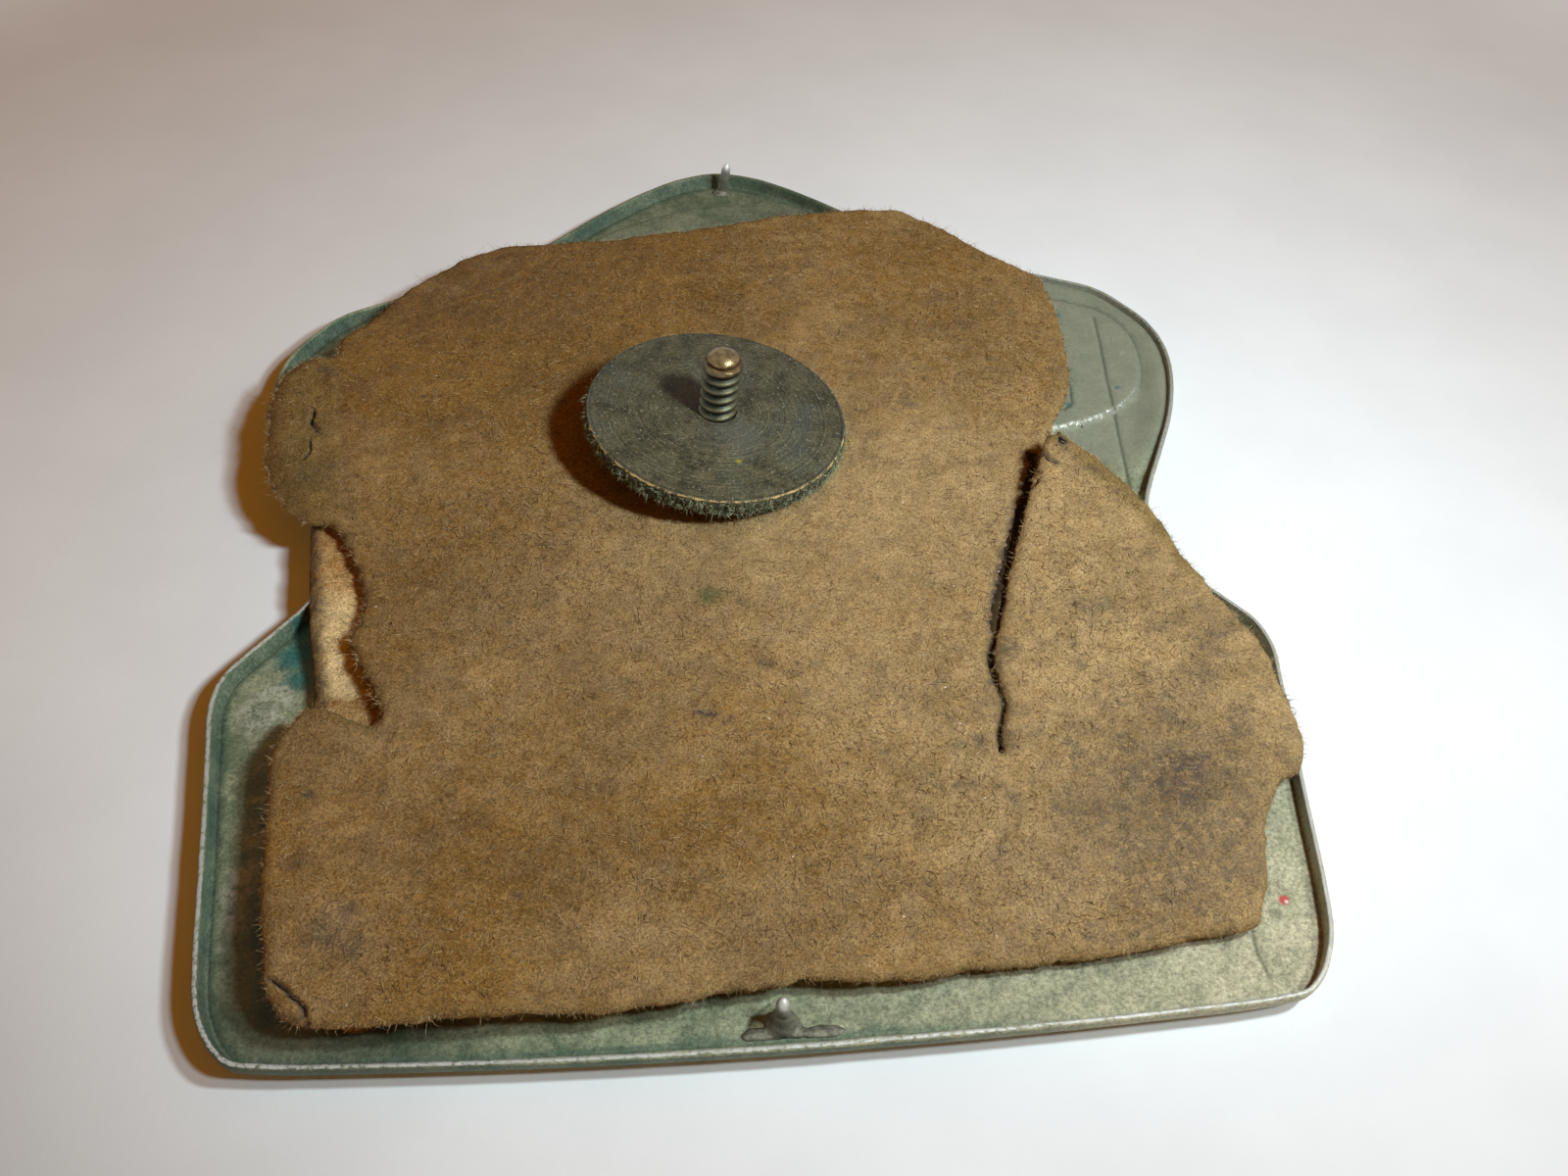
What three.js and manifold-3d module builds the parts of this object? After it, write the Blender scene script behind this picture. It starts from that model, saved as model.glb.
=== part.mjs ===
// A screw-back metal badge lying face down, in millimetres.
// +Z points out of its back, +Y towards its domed top and +X to the right as seen from behind.
// The origin is the middle of the round boss on the front, in the plane that the front rests on.
import * as THREE from "three";
import { mergeVertices } from "three/addons/utils/BufferGeometryUtils.js";
import Module from "manifold-3d";

const wasm = await Module();
wasm.setup();

// Outline of the badge
const badgeHalfWidth = 36.1;
const badgeTopReach = 42;
const badgeFootReach = 45.2;

// Stamped shell
const stockThickness = 0.7;
const reliefHeight = 0.5;
const panDepth = 1.0;
const rimWall = 0.6;
const rimDraft = 0.1;
const rimRound = 0.15;
const wallDraft = 0.25;
const footFillet = 0.25;
const edgeTuck = 0.9;
const edgeKneeRise = 0.8;

// Relief of the front and the cells struck into it
const edgeBeadInset = 0.1;
const edgeBeadWidth = 0.8;
const cellDepth = 0.45;
const cellRimWidth = 0.6;
const plateauMargin = 0.6;
const plateauDraft = 0.3;
const bossRadius = 11;
const bossStepWidth = 1.1;
const bossStepHeight = 0.2;
const enamelSink = 0.15;
const seatGap = 0.3;

// Screw post
const threadRadius = 1.42;
const threadPitch = 0.794;
const threadDepth = 0.3;
const postLength = 11;
const postPlainLength = 1.3;
const postTipRound = 0.75;
const postTiltDegrees = 7.4;
const flangeRadius = 3.2;
const flangeThickness = 0.5;
const flangeBevel = 0.2;
const solderRingWidth = 1.1;
const solderRingHeight = 0.4;

// Nut
const nutDiameter = 19.2;
const nutThickness = 1.4;
const nutDome = 0.22;
const nutEdgeBevel = 0.18;
const nutHeightOnPost = 5.65;
const knurlTeeth = 84;
const knurlDepth = 0.15;
const bushRadius = 2.3;
const bushLip = 0.08;
const threadClearance = 0.22;
const bushClearance = 0.2;

// Prongs
const prongRadius = 0.42;
const prongTipRadius = 0.12;
const upperProngHeight = 3.1;
const lowerProngHeight = 2.6;
const prongPointLength = 1.3;
const upperProngTiltDegrees = 12;
const lowerProngTiltDegrees = 1;
const upperProngInset = 1.8;
const lowerProngInset = 2.05;
const upperMoundWidth = 0.5;
const upperMoundHeight = 0.25;
const lowerMoundWidth = 0.85;
const lowerMoundHeight = 1.5;
const poolHeight = 0.3;
const poolHalfWidth = 3.1;
const poolHalfDepth = 0.95;

// Pad: two plies of fibre board
const plyThickness = 0.8;
const lowerPlyThickness = 0.7;
const padGridStep = 3.4;
const plySoftness = 3;
const padHoleRadius = 2.7;
const slitGap = 0.35;
const flapOverlap = 1.2;
const flapLift = 2.6;
const plySlack = 0.15;
const tearRise = 0.25;

// Making of the solids
const overrun = 0.7;
const weldDistance = 0.0003;
const curveSegments = 32;
const prongSegments = 16;
const threadSegments = 18;

const panFloor = reliefHeight + stockThickness;
const rimTop = panFloor + panDepth;
const cellFloor = reliefHeight + cellDepth;
const plateauTop = panFloor + cellDepth;

// How far the underside of a ply stands above the floor of the pan, at places along it
const plySeat = cellDepth + seatGap;
const plyOverRim = panDepth + seatGap + plySlack;
const plyOnPly = plySeat + lowerPlyThickness + seatGap + plySlack;
const plyByTear = plyOnPly + tearRise;
const plyOverFold = plyOverRim + lowerPlyThickness + seatGap;
const plyCurl = plyOverFold + plySlack;

// Shares of the half width and of the reach above or below the origin, for the right half: from the
// middle of the foot, round the right side, to the middle of the dome.
const outlineShares = [
  [0, -1], [0.3, -0.997], [0.6, -0.988], [0.76, -0.98], [0.805, -0.973], [0.833, -0.955],
  [0.855, -0.93], [0.875, -0.895], [0.89, -0.84], [0.914, -0.71], [0.954, -0.5],
  [0.965, -0.43], [0.953, -0.38], [0.92, -0.34], [0.87, -0.29], [0.83, -0.245],
  [0.812, -0.185], [0.833, -0.11], [0.9, 0.01], [0.957, 0.12], [0.99, 0.22], [1, 0.31],
  [0.985, 0.385], [0.945, 0.45], [0.89, 0.51], [0.8, 0.552], [0.665, 0.6], [0.554, 0.652],
  [0.424, 0.74], [0.3, 0.846], [0.18, 0.935], [0.09, 0.982], [0, 1],
];
const domeCellShares = [
  [0, 0.865], [0.14, 0.835], [0.28, 0.765], [0.36, 0.68], [0.36, 0.58], [0.27, 0.43], [0.15, 0.36],
  [0, 0.335],
];
const baseCellShares = [
  [0, -0.845], [0.4, -0.84], [0.7, -0.825], [0.78, -0.78], [0.795, -0.7], [0.82, -0.5],
  [0.8, -0.41], [0.72, -0.365], [0.44, -0.345], [0.22, -0.36], [0, -0.375],
];
const lobeCellShares = [
  [0.48, 0.12], [0.69, 0.115], [0.83, 0.16], [0.89, 0.215], [0.915, 0.3], [0.91, 0.375],
  [0.865, 0.44], [0.8, 0.47], [0.66, 0.515], [0.52, 0.57], [0.46, 0.52], [0.45, 0.3],
];
const postFootShares = [-0.0565, 0.04];
const upperProngShares = [0.017, 1];
const lowerProngShares = [0.003, -1];

// Shares of a radius and of a height, in that order, for turned profiles
const postTipShares = [[0.93, 1], [0.72, 0.4], [0.4, 0.1], [0, 0]];
const prongPointShares = [[1, 1], [0.7, 0.4]];
const solderFlankShares = [[0.7, 0.45], [0.3, 0.85]];
const nutDomeShares = [0.6, 0.35];

// Shares of a thread's pitch and of its depth, up one ridge
const threadRidgeShares = [[0, 0], [0.2, 0], [0.5, 1], [0.7, 1]];

// Shares of the solder pool's half width and half depth
const poolShares = [
  [-1, -0.1], [-0.75, 0.45], [-0.5, 0.35], [-0.2, 1], [0.25, 1.05], [0.5, 0.3], [0.85, 0.55],
  [1.25, 0.2], [1.2, -0.5], [0.6, -0.6], [0, -0.6], [-0.7, -0.6],
];

// The pad is torn and lies off centre, so its outline isn't symmetric.
const padShares = [
  [-0.84, -0.13], [-0.89, -0.087], [-0.92, -0.03], [-0.95, 0.03], [-0.978, 0.17], [-0.97, 0.27],
  [-0.925, 0.31], [-0.88, 0.312], [-0.86, 0.38], [-0.805, 0.436], [-0.756, 0.5], [-0.7, 0.557],
  [-0.61, 0.636], [-0.518, 0.676], [-0.424, 0.68], [-0.26, 0.69], [-0.053, 0.717], [0.105, 0.745],
  [0.24, 0.774], [0.36, 0.79], [0.45, 0.78], [0.526, 0.726], [0.634, 0.62], [0.748, 0.52],
  [0.756, 0.45], [0.76, 0.352], [0.74, 0.188], [0.7, 0.105], [0.665, 0.05], [0.643, 0.014],
];
const slitShares = [
  [0.62, -0.046], [0.563, -0.155], [0.516, -0.248], [0.452, -0.396], [0.427, -0.445],
  [0.427, -0.49], [0.436, -0.527], [0.414, -0.577], [0.41, -0.62],
];
const flapEdgeShares = [
  [0.662, 0.018], [0.687, -0.027], [0.728, -0.07], [0.765, -0.115], [0.806, -0.164],
  [0.82, -0.2], [0.828, -0.252], [0.859, -0.31], [0.88, -0.365], [0.92, -0.431],
  [0.933, -0.48], [0.931, -0.54], [0.933, -0.593], [0.925, -0.635],
];
const padFootShares = [
  [0.914, -0.666], [0.87, -0.677], [0.845, -0.7], [0.826, -0.726], [0.803, -0.776], [0.79, -0.82],
  [0.77, -0.86], [0.756, -0.88], [0.728, -0.886], [0.6, -0.9], [0.44, -0.912], [0.29, -0.92],
  [0.2, -0.936], [0.12, -0.936], [0.03, -0.927], [0.015, -0.937], [-0.086, -0.943],
  [-0.258, -0.962], [-0.446, -0.963], [-0.535, -0.969], [-0.68, -0.963], [-0.723, -0.95],
  [-0.745, -0.916], [-0.78, -0.785], [-0.803, -0.64], [-0.815, -0.546], [-0.795, -0.5],
  [-0.775, -0.478], [-0.74, -0.485], [-0.69, -0.507], [-0.654, -0.524],
];
const tearShares = [
  [-0.643, -0.502], [-0.67, -0.456], [-0.704, -0.407], [-0.723, -0.37], [-0.712, -0.323],
  [-0.712, -0.283], [-0.728, -0.221], [-0.74, -0.215], [-0.77, -0.164], [-0.814, -0.135],
];
const lowerPlyShares = [
  [-0.9, 0.2], [-0.87, 0.02], [-0.856, -0.115], [-0.823, -0.28], [-0.784, -0.434], [-0.77, -0.66],
  [-0.755, -0.88], [-0.7, -0.935], [-0.5, -0.94], [-0.38, -0.9], [-0.3, -0.7], [-0.1, -0.45],
  [0.16, -0.2], [0.2, 0.1], [0.12, 0.5], [-0.2, 0.62], [-0.5, 0.6], [-0.68, 0.47], [-0.8, 0.34],
];

// Places on the plies as shares, each with the height of the underside there
const upperPlyPlaceShares = [
  [0, 0, plyOnPly], [0, 0.7, plyOnPly], [0.25, 0.3, plyOnPly], [-0.4, 0.3, plyOnPly],
  [0.2, 0, plyOnPly], [0.1, -0.3, plyOnPly], [-0.2, -0.75, plyOnPly], [-0.25, -0.9, plyOnPly],
  [0.5, 0.7, plyOverRim], [0.64, 0.6, plyOverRim], [0.74, 0.45, plyOverRim],
  [0.72, 0.15, plyOverRim], [0.6, 0, plyOverRim], [-0.8, 0.42, plyOnPly], [-0.65, 0.6, plyOnPly],
  [-0.95, 0.2, plyOverFold], [-0.92, 0, plyOverFold], [-0.84, -0.12, plyOverFold],
  [-0.84, 0.1, plyOverFold], [-0.8, 0, plyOverFold], [-0.7, -0.25, plyByTear],
  [-0.8, -0.14, plyOverFold], [-0.62, -0.1, plyByTear], [-0.4, -0.3, plyOnPly],
  [-0.75, -0.9, plyCurl], [-0.78, -0.65, plyOverFold],
  [-0.45, -0.95, plyOverFold], [-0.4, -0.65, plyOnPly], [0, -0.93, plyOverRim], [0, -0.5, plyOnPly],
  [0.4, -0.9, plySeat], [0.73, -0.87, plySeat], [0.78, -0.78, plySeat], [0.5, -0.7, plySeat],
  [0.92, -0.62, plyOverRim], [0.88, -0.67, plyOverRim], [0.93, -0.5, plyOverRim],
  [0.85, -0.3, plyOverRim], [0.42, -0.5, plyOverRim], [0.4, -0.2, plyOverRim],
];
const lowerPlyPlaceShares = [
  [0, 0, plySeat], [-0.5, 0.4, plySeat], [-0.5, -0.5, plySeat], [0.2, 0.4, plySeat],
  [0.1, -0.45, plySeat], [-0.75, -0.6, plySeat], [-0.7, -0.9, plySeat], [-0.3, -0.9, plySeat],
  [-0.66, 0.1, plySeat], [-0.88, 0.15, plyOverRim], [-0.86, 0, plyOverRim], [-0.84, -0.1, plyOverRim],
  [-0.81, -0.18, plyOverRim], [-0.82, -0.25, plyOverRim], [-0.65, -0.22, plySeat],
  [-0.62, -0.06, plySeat], [-0.76, -0.45, plySeat], [-0.75, 0.4, plySeat],
];

// A place on the badge from its shares
function place([xShare, yShare]) {
  const reach = yShare > 0 ? badgeTopReach : badgeFootReach;
  return new THREE.Vector2(xShare * badgeHalfWidth, yShare * reach);
}

// A closed ring from the shares of its right half, which starts and ends on the line x = 0
function mirroredRing(halfShares, steps) {
  const right = halfShares.map(place);
  const left = right.slice(1, -1).reverse().map((p) => new THREE.Vector2(-p.x, p.y));
  return smoothRing([...right, ...left], steps);
}

// A smooth closed ring through points, with some steps on each stretch, anticlockwise seen from above
function smoothRing(points, steps) {
  const knots = points.map((p) => new THREE.Vector3(p.x, p.y, 0));
  const curve = new THREE.CatmullRomCurve3(knots, true, "centripetal");
  const ring = curve.getPoints(points.length * steps).slice(0, -1).map((p) => new THREE.Vector2(p.x, p.y));
  return THREE.ShapeUtils.area(ring) < 0 ? ring.reverse() : ring;
}

// The ring moved inwards by a distance, or outwards where it is negative
function inset(ring, distance) {
  return ring.map((p, i) => {
    const before = ring[(i + ring.length - 1) % ring.length];
    const after = ring[(i + 1) % ring.length];
    const along = after.clone().sub(before).normalize();
    return new THREE.Vector2(p.x - along.y * distance, p.y + along.x * distance);
  });
}

// A closed mesh between rings of equal length, each at its own height, with flat ends
function loft(levels) {
  const count = levels[0].ring.length;
  const corners = levels.flatMap(({ ring, z }) => ring.map((p) => [p.x, p.y, z]));
  const faces = [];
  for (let level = 0; level < levels.length - 1; level += 1) {
    for (let i = 0; i < count; i += 1) {
      const next = (i + 1) % count;
      const low = level * count;
      const high = low + count;
      faces.push([low + i, low + next, high + next], [low + i, high + next, high + i]);
    }
  }
  const cap = THREE.ShapeUtils.triangulateShape(levels[0].ring, []);
  const lid = THREE.ShapeUtils.triangulateShape(levels.at(-1).ring, []);
  const lidStart = (levels.length - 1) * count;
  cap.forEach(([a, b, c]) => faces.push([a, c, b]));
  lid.forEach(([a, b, c]) => faces.push([lidStart + a, lidStart + b, lidStart + c]));
  const geometry = new THREE.BufferGeometry();
  geometry.setAttribute("position", new THREE.Float32BufferAttribute(corners.flat(), 3));
  geometry.setIndex(faces.flat());
  return geometry;
}

// A geometry as a solid that can be joined and cut
function solid(geometry) {
  const bare = geometry.index ? geometry.toNonIndexed() : geometry.clone();
  bare.deleteAttribute("normal");
  bare.deleteAttribute("uv");
  const merged = mergeVertices(bare, weldDistance);
  return new wasm.Manifold(
    new wasm.Mesh({
      numProp: 3,
      vertProperties: merged.attributes.position.array,
      triVerts: new Uint32Array(merged.index.array),
    }),
  );
}

// A solid as a geometry for a mesh
function geometryOf(made) {
  const { vertProperties, triVerts } = made.getMesh();
  const geometry = new THREE.BufferGeometry();
  geometry.setAttribute("position", new THREE.BufferAttribute(new Float32Array(vertProperties), 3));
  geometry.setIndex(new THREE.BufferAttribute(new Uint32Array(triVerts), 1));
  return geometry;
}

// A straight-sided solid of a ring between two heights
function prism(ring, low, high, hole) {
  const shape = new THREE.Shape(ring);
  if (hole) shape.holes.push(new THREE.Path(hole));
  const geometry = new THREE.ExtrudeGeometry(shape, { depth: high - low, bevelEnabled: false });
  return solid(geometry.translate(0, 0, low));
}

// A turned solid from a profile of [radius, height], which starts and ends on the axis
function turned(profile, segments) {
  const points = profile.map(([radius, height]) => new THREE.Vector2(radius, height));
  return solid(new THREE.LatheGeometry(points, segments).rotateX(Math.PI / 2));
}

function circle(radius, centre, segments) {
  return Array.from({ length: segments }, (_, i) => {
    const angle = (2 * Math.PI * i) / segments;
    return new THREE.Vector2(centre.x + radius * Math.cos(angle), centre.y + radius * Math.sin(angle));
  });
}

function moved(made, x, y, z) {
  return solid(geometryOf(made).translate(x, y, z));
}

function leaned(made, degrees) {
  return solid(geometryOf(made).rotateY(THREE.MathUtils.degToRad(degrees)));
}

const outline = mirroredRing(outlineShares, 2);
const cellRings = {
  dome: mirroredRing(domeCellShares, 2),
  base: mirroredRing(baseCellShares, 2),
  lobe_right: smoothRing(lobeCellShares.map(place), 2),
  lobe_left: smoothRing(lobeCellShares.map(([x, y]) => place([-x, y])), 2),
};
const postFoot = place(postFootShares);
const upperProngPlace = place(upperProngShares).sub(new THREE.Vector2(0, upperProngInset));
const lowerProngPlace = place(lowerProngShares).add(new THREE.Vector2(0, lowerProngInset));

// The tray, from the edge of its front face, which is tucked under, out to a knee and up the outside,
// over the rim and down to the floor of the pan
function trayBody() {
  const innerWall = rimWall + wallDraft;
  return solid(
    loft([
      { ring: inset(outline, edgeTuck), z: reliefHeight },
      { ring: inset(outline, rimDraft), z: reliefHeight + edgeKneeRise },
      { ring: outline, z: rimTop - rimRound },
      { ring: inset(outline, rimRound), z: rimTop },
      { ring: inset(outline, rimWall), z: rimTop },
      { ring: inset(outline, innerWall), z: panFloor + footFillet },
      { ring: inset(outline, innerWall + footFillet), z: panFloor },
    ]),
  );
}

function raisedEdge() {
  const outer = inset(outline, edgeTuck + edgeBeadInset);
  const inner = inset(outline, edgeTuck + edgeBeadInset + edgeBeadWidth);
  return prism(outer, 0, cellFloor, inner);
}

function plateau(ring) {
  return solid(
    loft([
      { ring: inset(ring, -plateauMargin - plateauDraft), z: cellFloor },
      { ring: inset(ring, -plateauMargin - plateauDraft), z: panFloor },
      { ring: inset(ring, -plateauMargin), z: plateauTop },
    ]),
  );
}

function centreBoss() {
  return turned(
    [
      [0, 0],
      [bossRadius - bossStepWidth, 0],
      [bossRadius - bossStepWidth, bossStepHeight],
      [bossRadius, bossStepHeight],
      [bossRadius, cellFloor],
      [0, cellFloor],
    ],
    curveSegments * 2,
  );
}

function badgeShell() {
  let made = trayBody().add(raisedEdge()).add(centreBoss());
  for (const ring of Object.values(cellRings)) {
    made = made.add(plateau(ring)).add(prism(inset(ring, -cellRimWidth), 0, panFloor));
  }
  for (const ring of Object.values(cellRings)) {
    made = made.subtract(prism(ring, -overrun, cellFloor));
  }
  return made;
}

function enamelField(ring) {
  return prism(inset(ring, seatGap), enamelSink, cellFloor);
}

// A right-hand thread: each ring of corners climbs one pitch in a turn, so the ridge winds up.
// Its ends are closed with a fan to a point on the axis, beyond the length that is cut from it.
function threadedRod(length) {
  const turns = Math.ceil(length / threadPitch) + 2;
  const step = threadRidgeShares.length;
  const corners = [];
  for (let turn = 0; turn < turns; turn += 1) {
    for (const [climbShare, ridgeShare] of threadRidgeShares) {
      const radius = threadRadius - threadDepth * (1 - ridgeShare);
      for (let i = 0; i < threadSegments; i += 1) {
        const angle = (2 * Math.PI * i) / threadSegments;
        const height = threadPitch * (turn - 1 + climbShare + i / threadSegments);
        corners.push(radius * Math.cos(angle), radius * Math.sin(angle), height);
      }
    }
  }
  const rows = (turns - 1) * step - 1;
  const faces = [];
  const at = (row, i) => (row + (i < threadSegments ? 0 : step)) * threadSegments + (i % threadSegments);
  for (let row = 0; row < rows; row += 1) {
    for (let i = 0; i < threadSegments; i += 1) {
      faces.push([at(row, i), at(row, i + 1), at(row + 1, i + 1)]);
      faces.push([at(row, i), at(row + 1, i + 1), at(row + 1, i)]);
    }
  }
  const bottom = [];
  for (let i = 0; i < threadSegments; i += 1) bottom.push(at(0, i));
  for (let row = step; row > 0; row -= 1) bottom.push(at(row, 0));
  const top = bottom.map((corner) => corner + rows * threadSegments);
  const low = corners.length / 3;
  corners.push(0, 0, -2 * threadPitch, 0, 0, turns * threadPitch);
  bottom.forEach((corner, i) => faces.push([bottom[(i + 1) % bottom.length], corner, low]));
  top.forEach((corner, i) => faces.push([corner, top[(i + 1) % top.length], low + 1]));
  const geometry = new THREE.BufferGeometry();
  geometry.setAttribute("position", new THREE.Float32BufferAttribute(corners, 3));
  geometry.setIndex(faces.flat());
  return solid(geometry);
}

function screwPost() {
  const reach = threadRadius + overrun;
  const tip = postTipShares.map(([radiusShare, dropShare]) => [
    threadRadius * radiusShare,
    postLength - postTipRound * dropShare,
  ]);
  const envelope = turned(
    [[0, postPlainLength], [reach, postPlainLength], [reach, postLength - postTipRound], ...tip],
    curveSegments,
  );
  const shank = turned(
    [
      [0, -flangeThickness],
      [threadRadius - threadDepth, -flangeThickness],
      [threadRadius - threadDepth, postPlainLength + threadPitch],
      [0, postPlainLength + threadPitch],
    ],
    curveSegments,
  );
  const flange = turned(
    [
      [0, 0],
      [flangeRadius, 0],
      [flangeRadius, flangeThickness - flangeBevel],
      [threadRadius, flangeThickness],
      [0, flangeThickness],
    ],
    curveSegments,
  );
  const above = prism(circle(postLength, new THREE.Vector2(), curveSegments), 0, postLength * 2);
  const rod = threadedRod(postLength).intersect(envelope).add(shank);
  const leaning = leaned(rod, postTiltDegrees).intersect(above);
  return moved(leaning.add(flange), postFoot.x, postFoot.y, panFloor);
}

// A round hole's solid, past both faces of what it is cut from
function boreOf(radius, height) {
  return prism(circle(radius, new THREE.Vector2(), curveSegments), -overrun, height + overrun);
}

// A low ring of solder with rounded flanks round a radius
function solderRing(innerRadius, width, height) {
  const flank = solderFlankShares.map(([widthShare, heightShare]) => [
    innerRadius + width * widthShare,
    height * heightShare,
  ]);
  const body = turned(
    [[0, 0], [innerRadius + width, 0], ...flank, [innerRadius, height], [0, height]],
    curveSegments,
  );
  return body.subtract(boreOf(innerRadius, height));
}

function postSolder() {
  const ring = solderRing(flangeRadius + seatGap, solderRingWidth, solderRingHeight);
  return moved(ring, postFoot.x, postFoot.y, panFloor);
}

function prong(at, height, tiltDegrees) {
  const pin = turned(
    [
      [0, -prongRadius],
      [prongRadius, -prongRadius],
      ...prongPointShares.map(([radiusShare, lengthShare]) => [
        prongRadius * radiusShare,
        height - prongPointLength * lengthShare,
      ]),
      [prongTipRadius, height],
      [0, height],
    ],
    prongSegments,
  );
  const above = prism(circle(height, new THREE.Vector2(), curveSegments), 0, height * 2);
  return moved(leaned(pin, tiltDegrees).intersect(above), at.x, at.y, panFloor);
}

// Solder stops short of the rim's inner wall.
function withinWall(made) {
  const clear = inset(outline, rimWall + wallDraft + footFillet + seatGap);
  return made.intersect(prism(clear, 0, rimTop));
}

function upperProngSolder() {
  const mound = solderRing(prongRadius + seatGap, upperMoundWidth, upperMoundHeight);
  return withinWall(moved(mound, upperProngPlace.x, upperProngPlace.y, panFloor));
}

// The lower prong's solder ran out sideways into a flat pool with uneven ends.
function lowerProngSolder() {
  const points = poolShares.map(([x, y]) => new THREE.Vector2(x * poolHalfWidth, y * poolHalfDepth));
  const ring = smoothRing(points, 2);
  const pool = solid(
    loft([
      { ring, z: 0 },
      { ring: inset(ring, poolHeight / 2), z: poolHeight },
    ]),
  );
  const mound = solderRing(prongRadius + seatGap, lowerMoundWidth, lowerMoundHeight);
  const made = pool.subtract(boreOf(prongRadius + seatGap, poolHeight)).add(mound);
  return withinWall(moved(made, lowerProngPlace.x, lowerProngPlace.y, panFloor));
}

// The disc of the nut, its underside at height zero: a knurled edge and a slightly domed top
function nutDisc() {
  const nutRadius = nutDiameter / 2;
  const edge = Array.from({ length: knurlTeeth * 2 }, (_, i) => {
    const radius = i % 2 ? nutRadius - knurlDepth : nutRadius;
    const angle = (Math.PI * i) / knurlTeeth;
    return new THREE.Vector2(radius * Math.cos(angle), radius * Math.sin(angle));
  });
  const sideTop = nutThickness - nutDome;
  const [domeRadiusShare, domeDropShare] = nutDomeShares;
  const disc = prism(edge, 0, nutThickness);
  const envelope = turned(
    [
      [0, 0],
      [nutRadius - nutEdgeBevel, 0],
      [nutRadius, nutEdgeBevel],
      [nutRadius, sideTop - nutEdgeBevel],
      [nutRadius - nutEdgeBevel, sideTop],
      [nutRadius * domeRadiusShare, nutThickness - nutDome * domeDropShare],
      [0, nutThickness],
    ],
    curveSegments * 2,
  );
  return disc.intersect(envelope).subtract(boreOf(bushRadius + bushClearance, nutThickness));
}

function nutBush() {
  const boreRadius = threadRadius + threadClearance;
  const centre = new THREE.Vector2();
  const outer = circle(bushRadius, centre, curveSegments);
  return prism(outer, 0, nutThickness + bushLip, circle(boreRadius, centre, curveSegments));
}

// The height of a sheet's underside anywhere, blended from the heights at its named places
function heightField(places) {
  const knots = places.map(([x, y, rise]) => ({ at: place([x, y]), rise }));
  return (x, y) => {
    let total = 0;
    let weight = 0;
    for (const { at, rise } of knots) {
      const nearness = 1 / ((x - at.x) ** 2 + (y - at.y) ** 2 + plySoftness ** 2) ** 2;
      total += nearness * rise;
      weight += nearness;
    }
    return panFloor + total / weight;
  };
}

// A bent sheet of one thickness inside a ring
function bentSheet(ring, underside, thickness) {
  const box = new THREE.Box2().setFromPoints(ring).expandByScalar(padGridStep / 2);
  const columns = Math.ceil((box.max.x - box.min.x) / padGridStep);
  const rows = Math.ceil((box.max.y - box.min.y) / padGridStep);
  const slab = new THREE.BoxGeometry(1, 1, 1, columns, rows, 1);
  const corner = slab.attributes.position;
  let highest = 0;
  for (let i = 0; i < corner.count; i += 1) {
    const x = THREE.MathUtils.lerp(box.min.x, box.max.x, corner.getX(i) + 0.5);
    const y = THREE.MathUtils.lerp(box.min.y, box.max.y, corner.getY(i) + 0.5);
    const z = underside(x, y) + (corner.getZ(i) > 0 ? thickness : 0);
    corner.setXYZ(i, x, y, z);
    highest = Math.max(highest, z);
  }
  return solid(slab).intersect(prism(ring, 0, highest + overrun));
}

function anticlockwise(points) {
  return THREE.ShapeUtils.area(points) < 0 ? points.reverse() : points;
}

function padHole() {
  return prism(circle(padHoleRadius, postFoot, curveSegments), 0, rimTop + postLength);
}

function padUpperPly() {
  const lie = heightField(upperPlyPlaceShares);
  const slit = slitShares.map(place);
  const mainRing = anticlockwise([
    ...padShares.map(place),
    ...slit.map((p) => new THREE.Vector2(p.x - slitGap / 2, p.y)),
    place(flapEdgeShares.at(-1)),
    ...padFootShares.map(place),
    ...tearShares.map(place),
  ]);
  const crease = slit.at(-1);
  const far = place(flapEdgeShares.at(-1));
  const flapRing = anticlockwise([
    ...flapEdgeShares.map(place),
    new THREE.Vector2(far.x - flapOverlap, far.y - flapOverlap),
    new THREE.Vector2(crease.x + slitGap / 2, crease.y - flapOverlap),
    ...slit.map((p) => new THREE.Vector2(p.x + slitGap / 2, p.y)).reverse(),
  ]);
  const tip = slit[0];
  const flapReach = tip.y - crease.y;
  const flapLie = (x, y) => {
    const along = THREE.MathUtils.clamp((y - crease.y) / flapReach, 0, 1);
    const across = THREE.MathUtils.clamp((far.x - x) / (far.x - tip.x), 0, 1);
    return lie(x, y) + flapLift * along * along * across;
  };
  const main = bentSheet(mainRing, lie, plyThickness);
  const flap = bentSheet(flapRing, flapLie, plyThickness);
  return main.add(flap).subtract(padHole());
}

function padLowerPly() {
  const ring = smoothRing(lowerPlyShares.map(place), 2);
  return bentSheet(ring, heightField(lowerPlyPlaceShares), lowerPlyThickness).subtract(padHole());
}

function material(colour, roughness, metalness) {
  return new THREE.MeshStandardMaterial({ color: colour, roughness, metalness });
}

const finishes = {
  shell: material(0x7d8468, 0.5, 0.9),
  enamel: material(0x1b3553, 0.25, 0),
  brass: material(0x8f7440, 0.4, 1),
  darkBrass: material(0x4a4836, 0.55, 0.9),
  steel: material(0x8b8b80, 0.4, 1),
  solder: material(0x4a4a42, 0.6, 0.8),
  board: material(0x7a5c33, 0.95, 0),
  innerBoard: material(0xa8895a, 0.95, 0),
};

function named(name, made, finish) {
  const mesh = new THREE.Mesh(geometryOf(made), finish.clone());
  mesh.name = name;
  return mesh;
}

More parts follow.
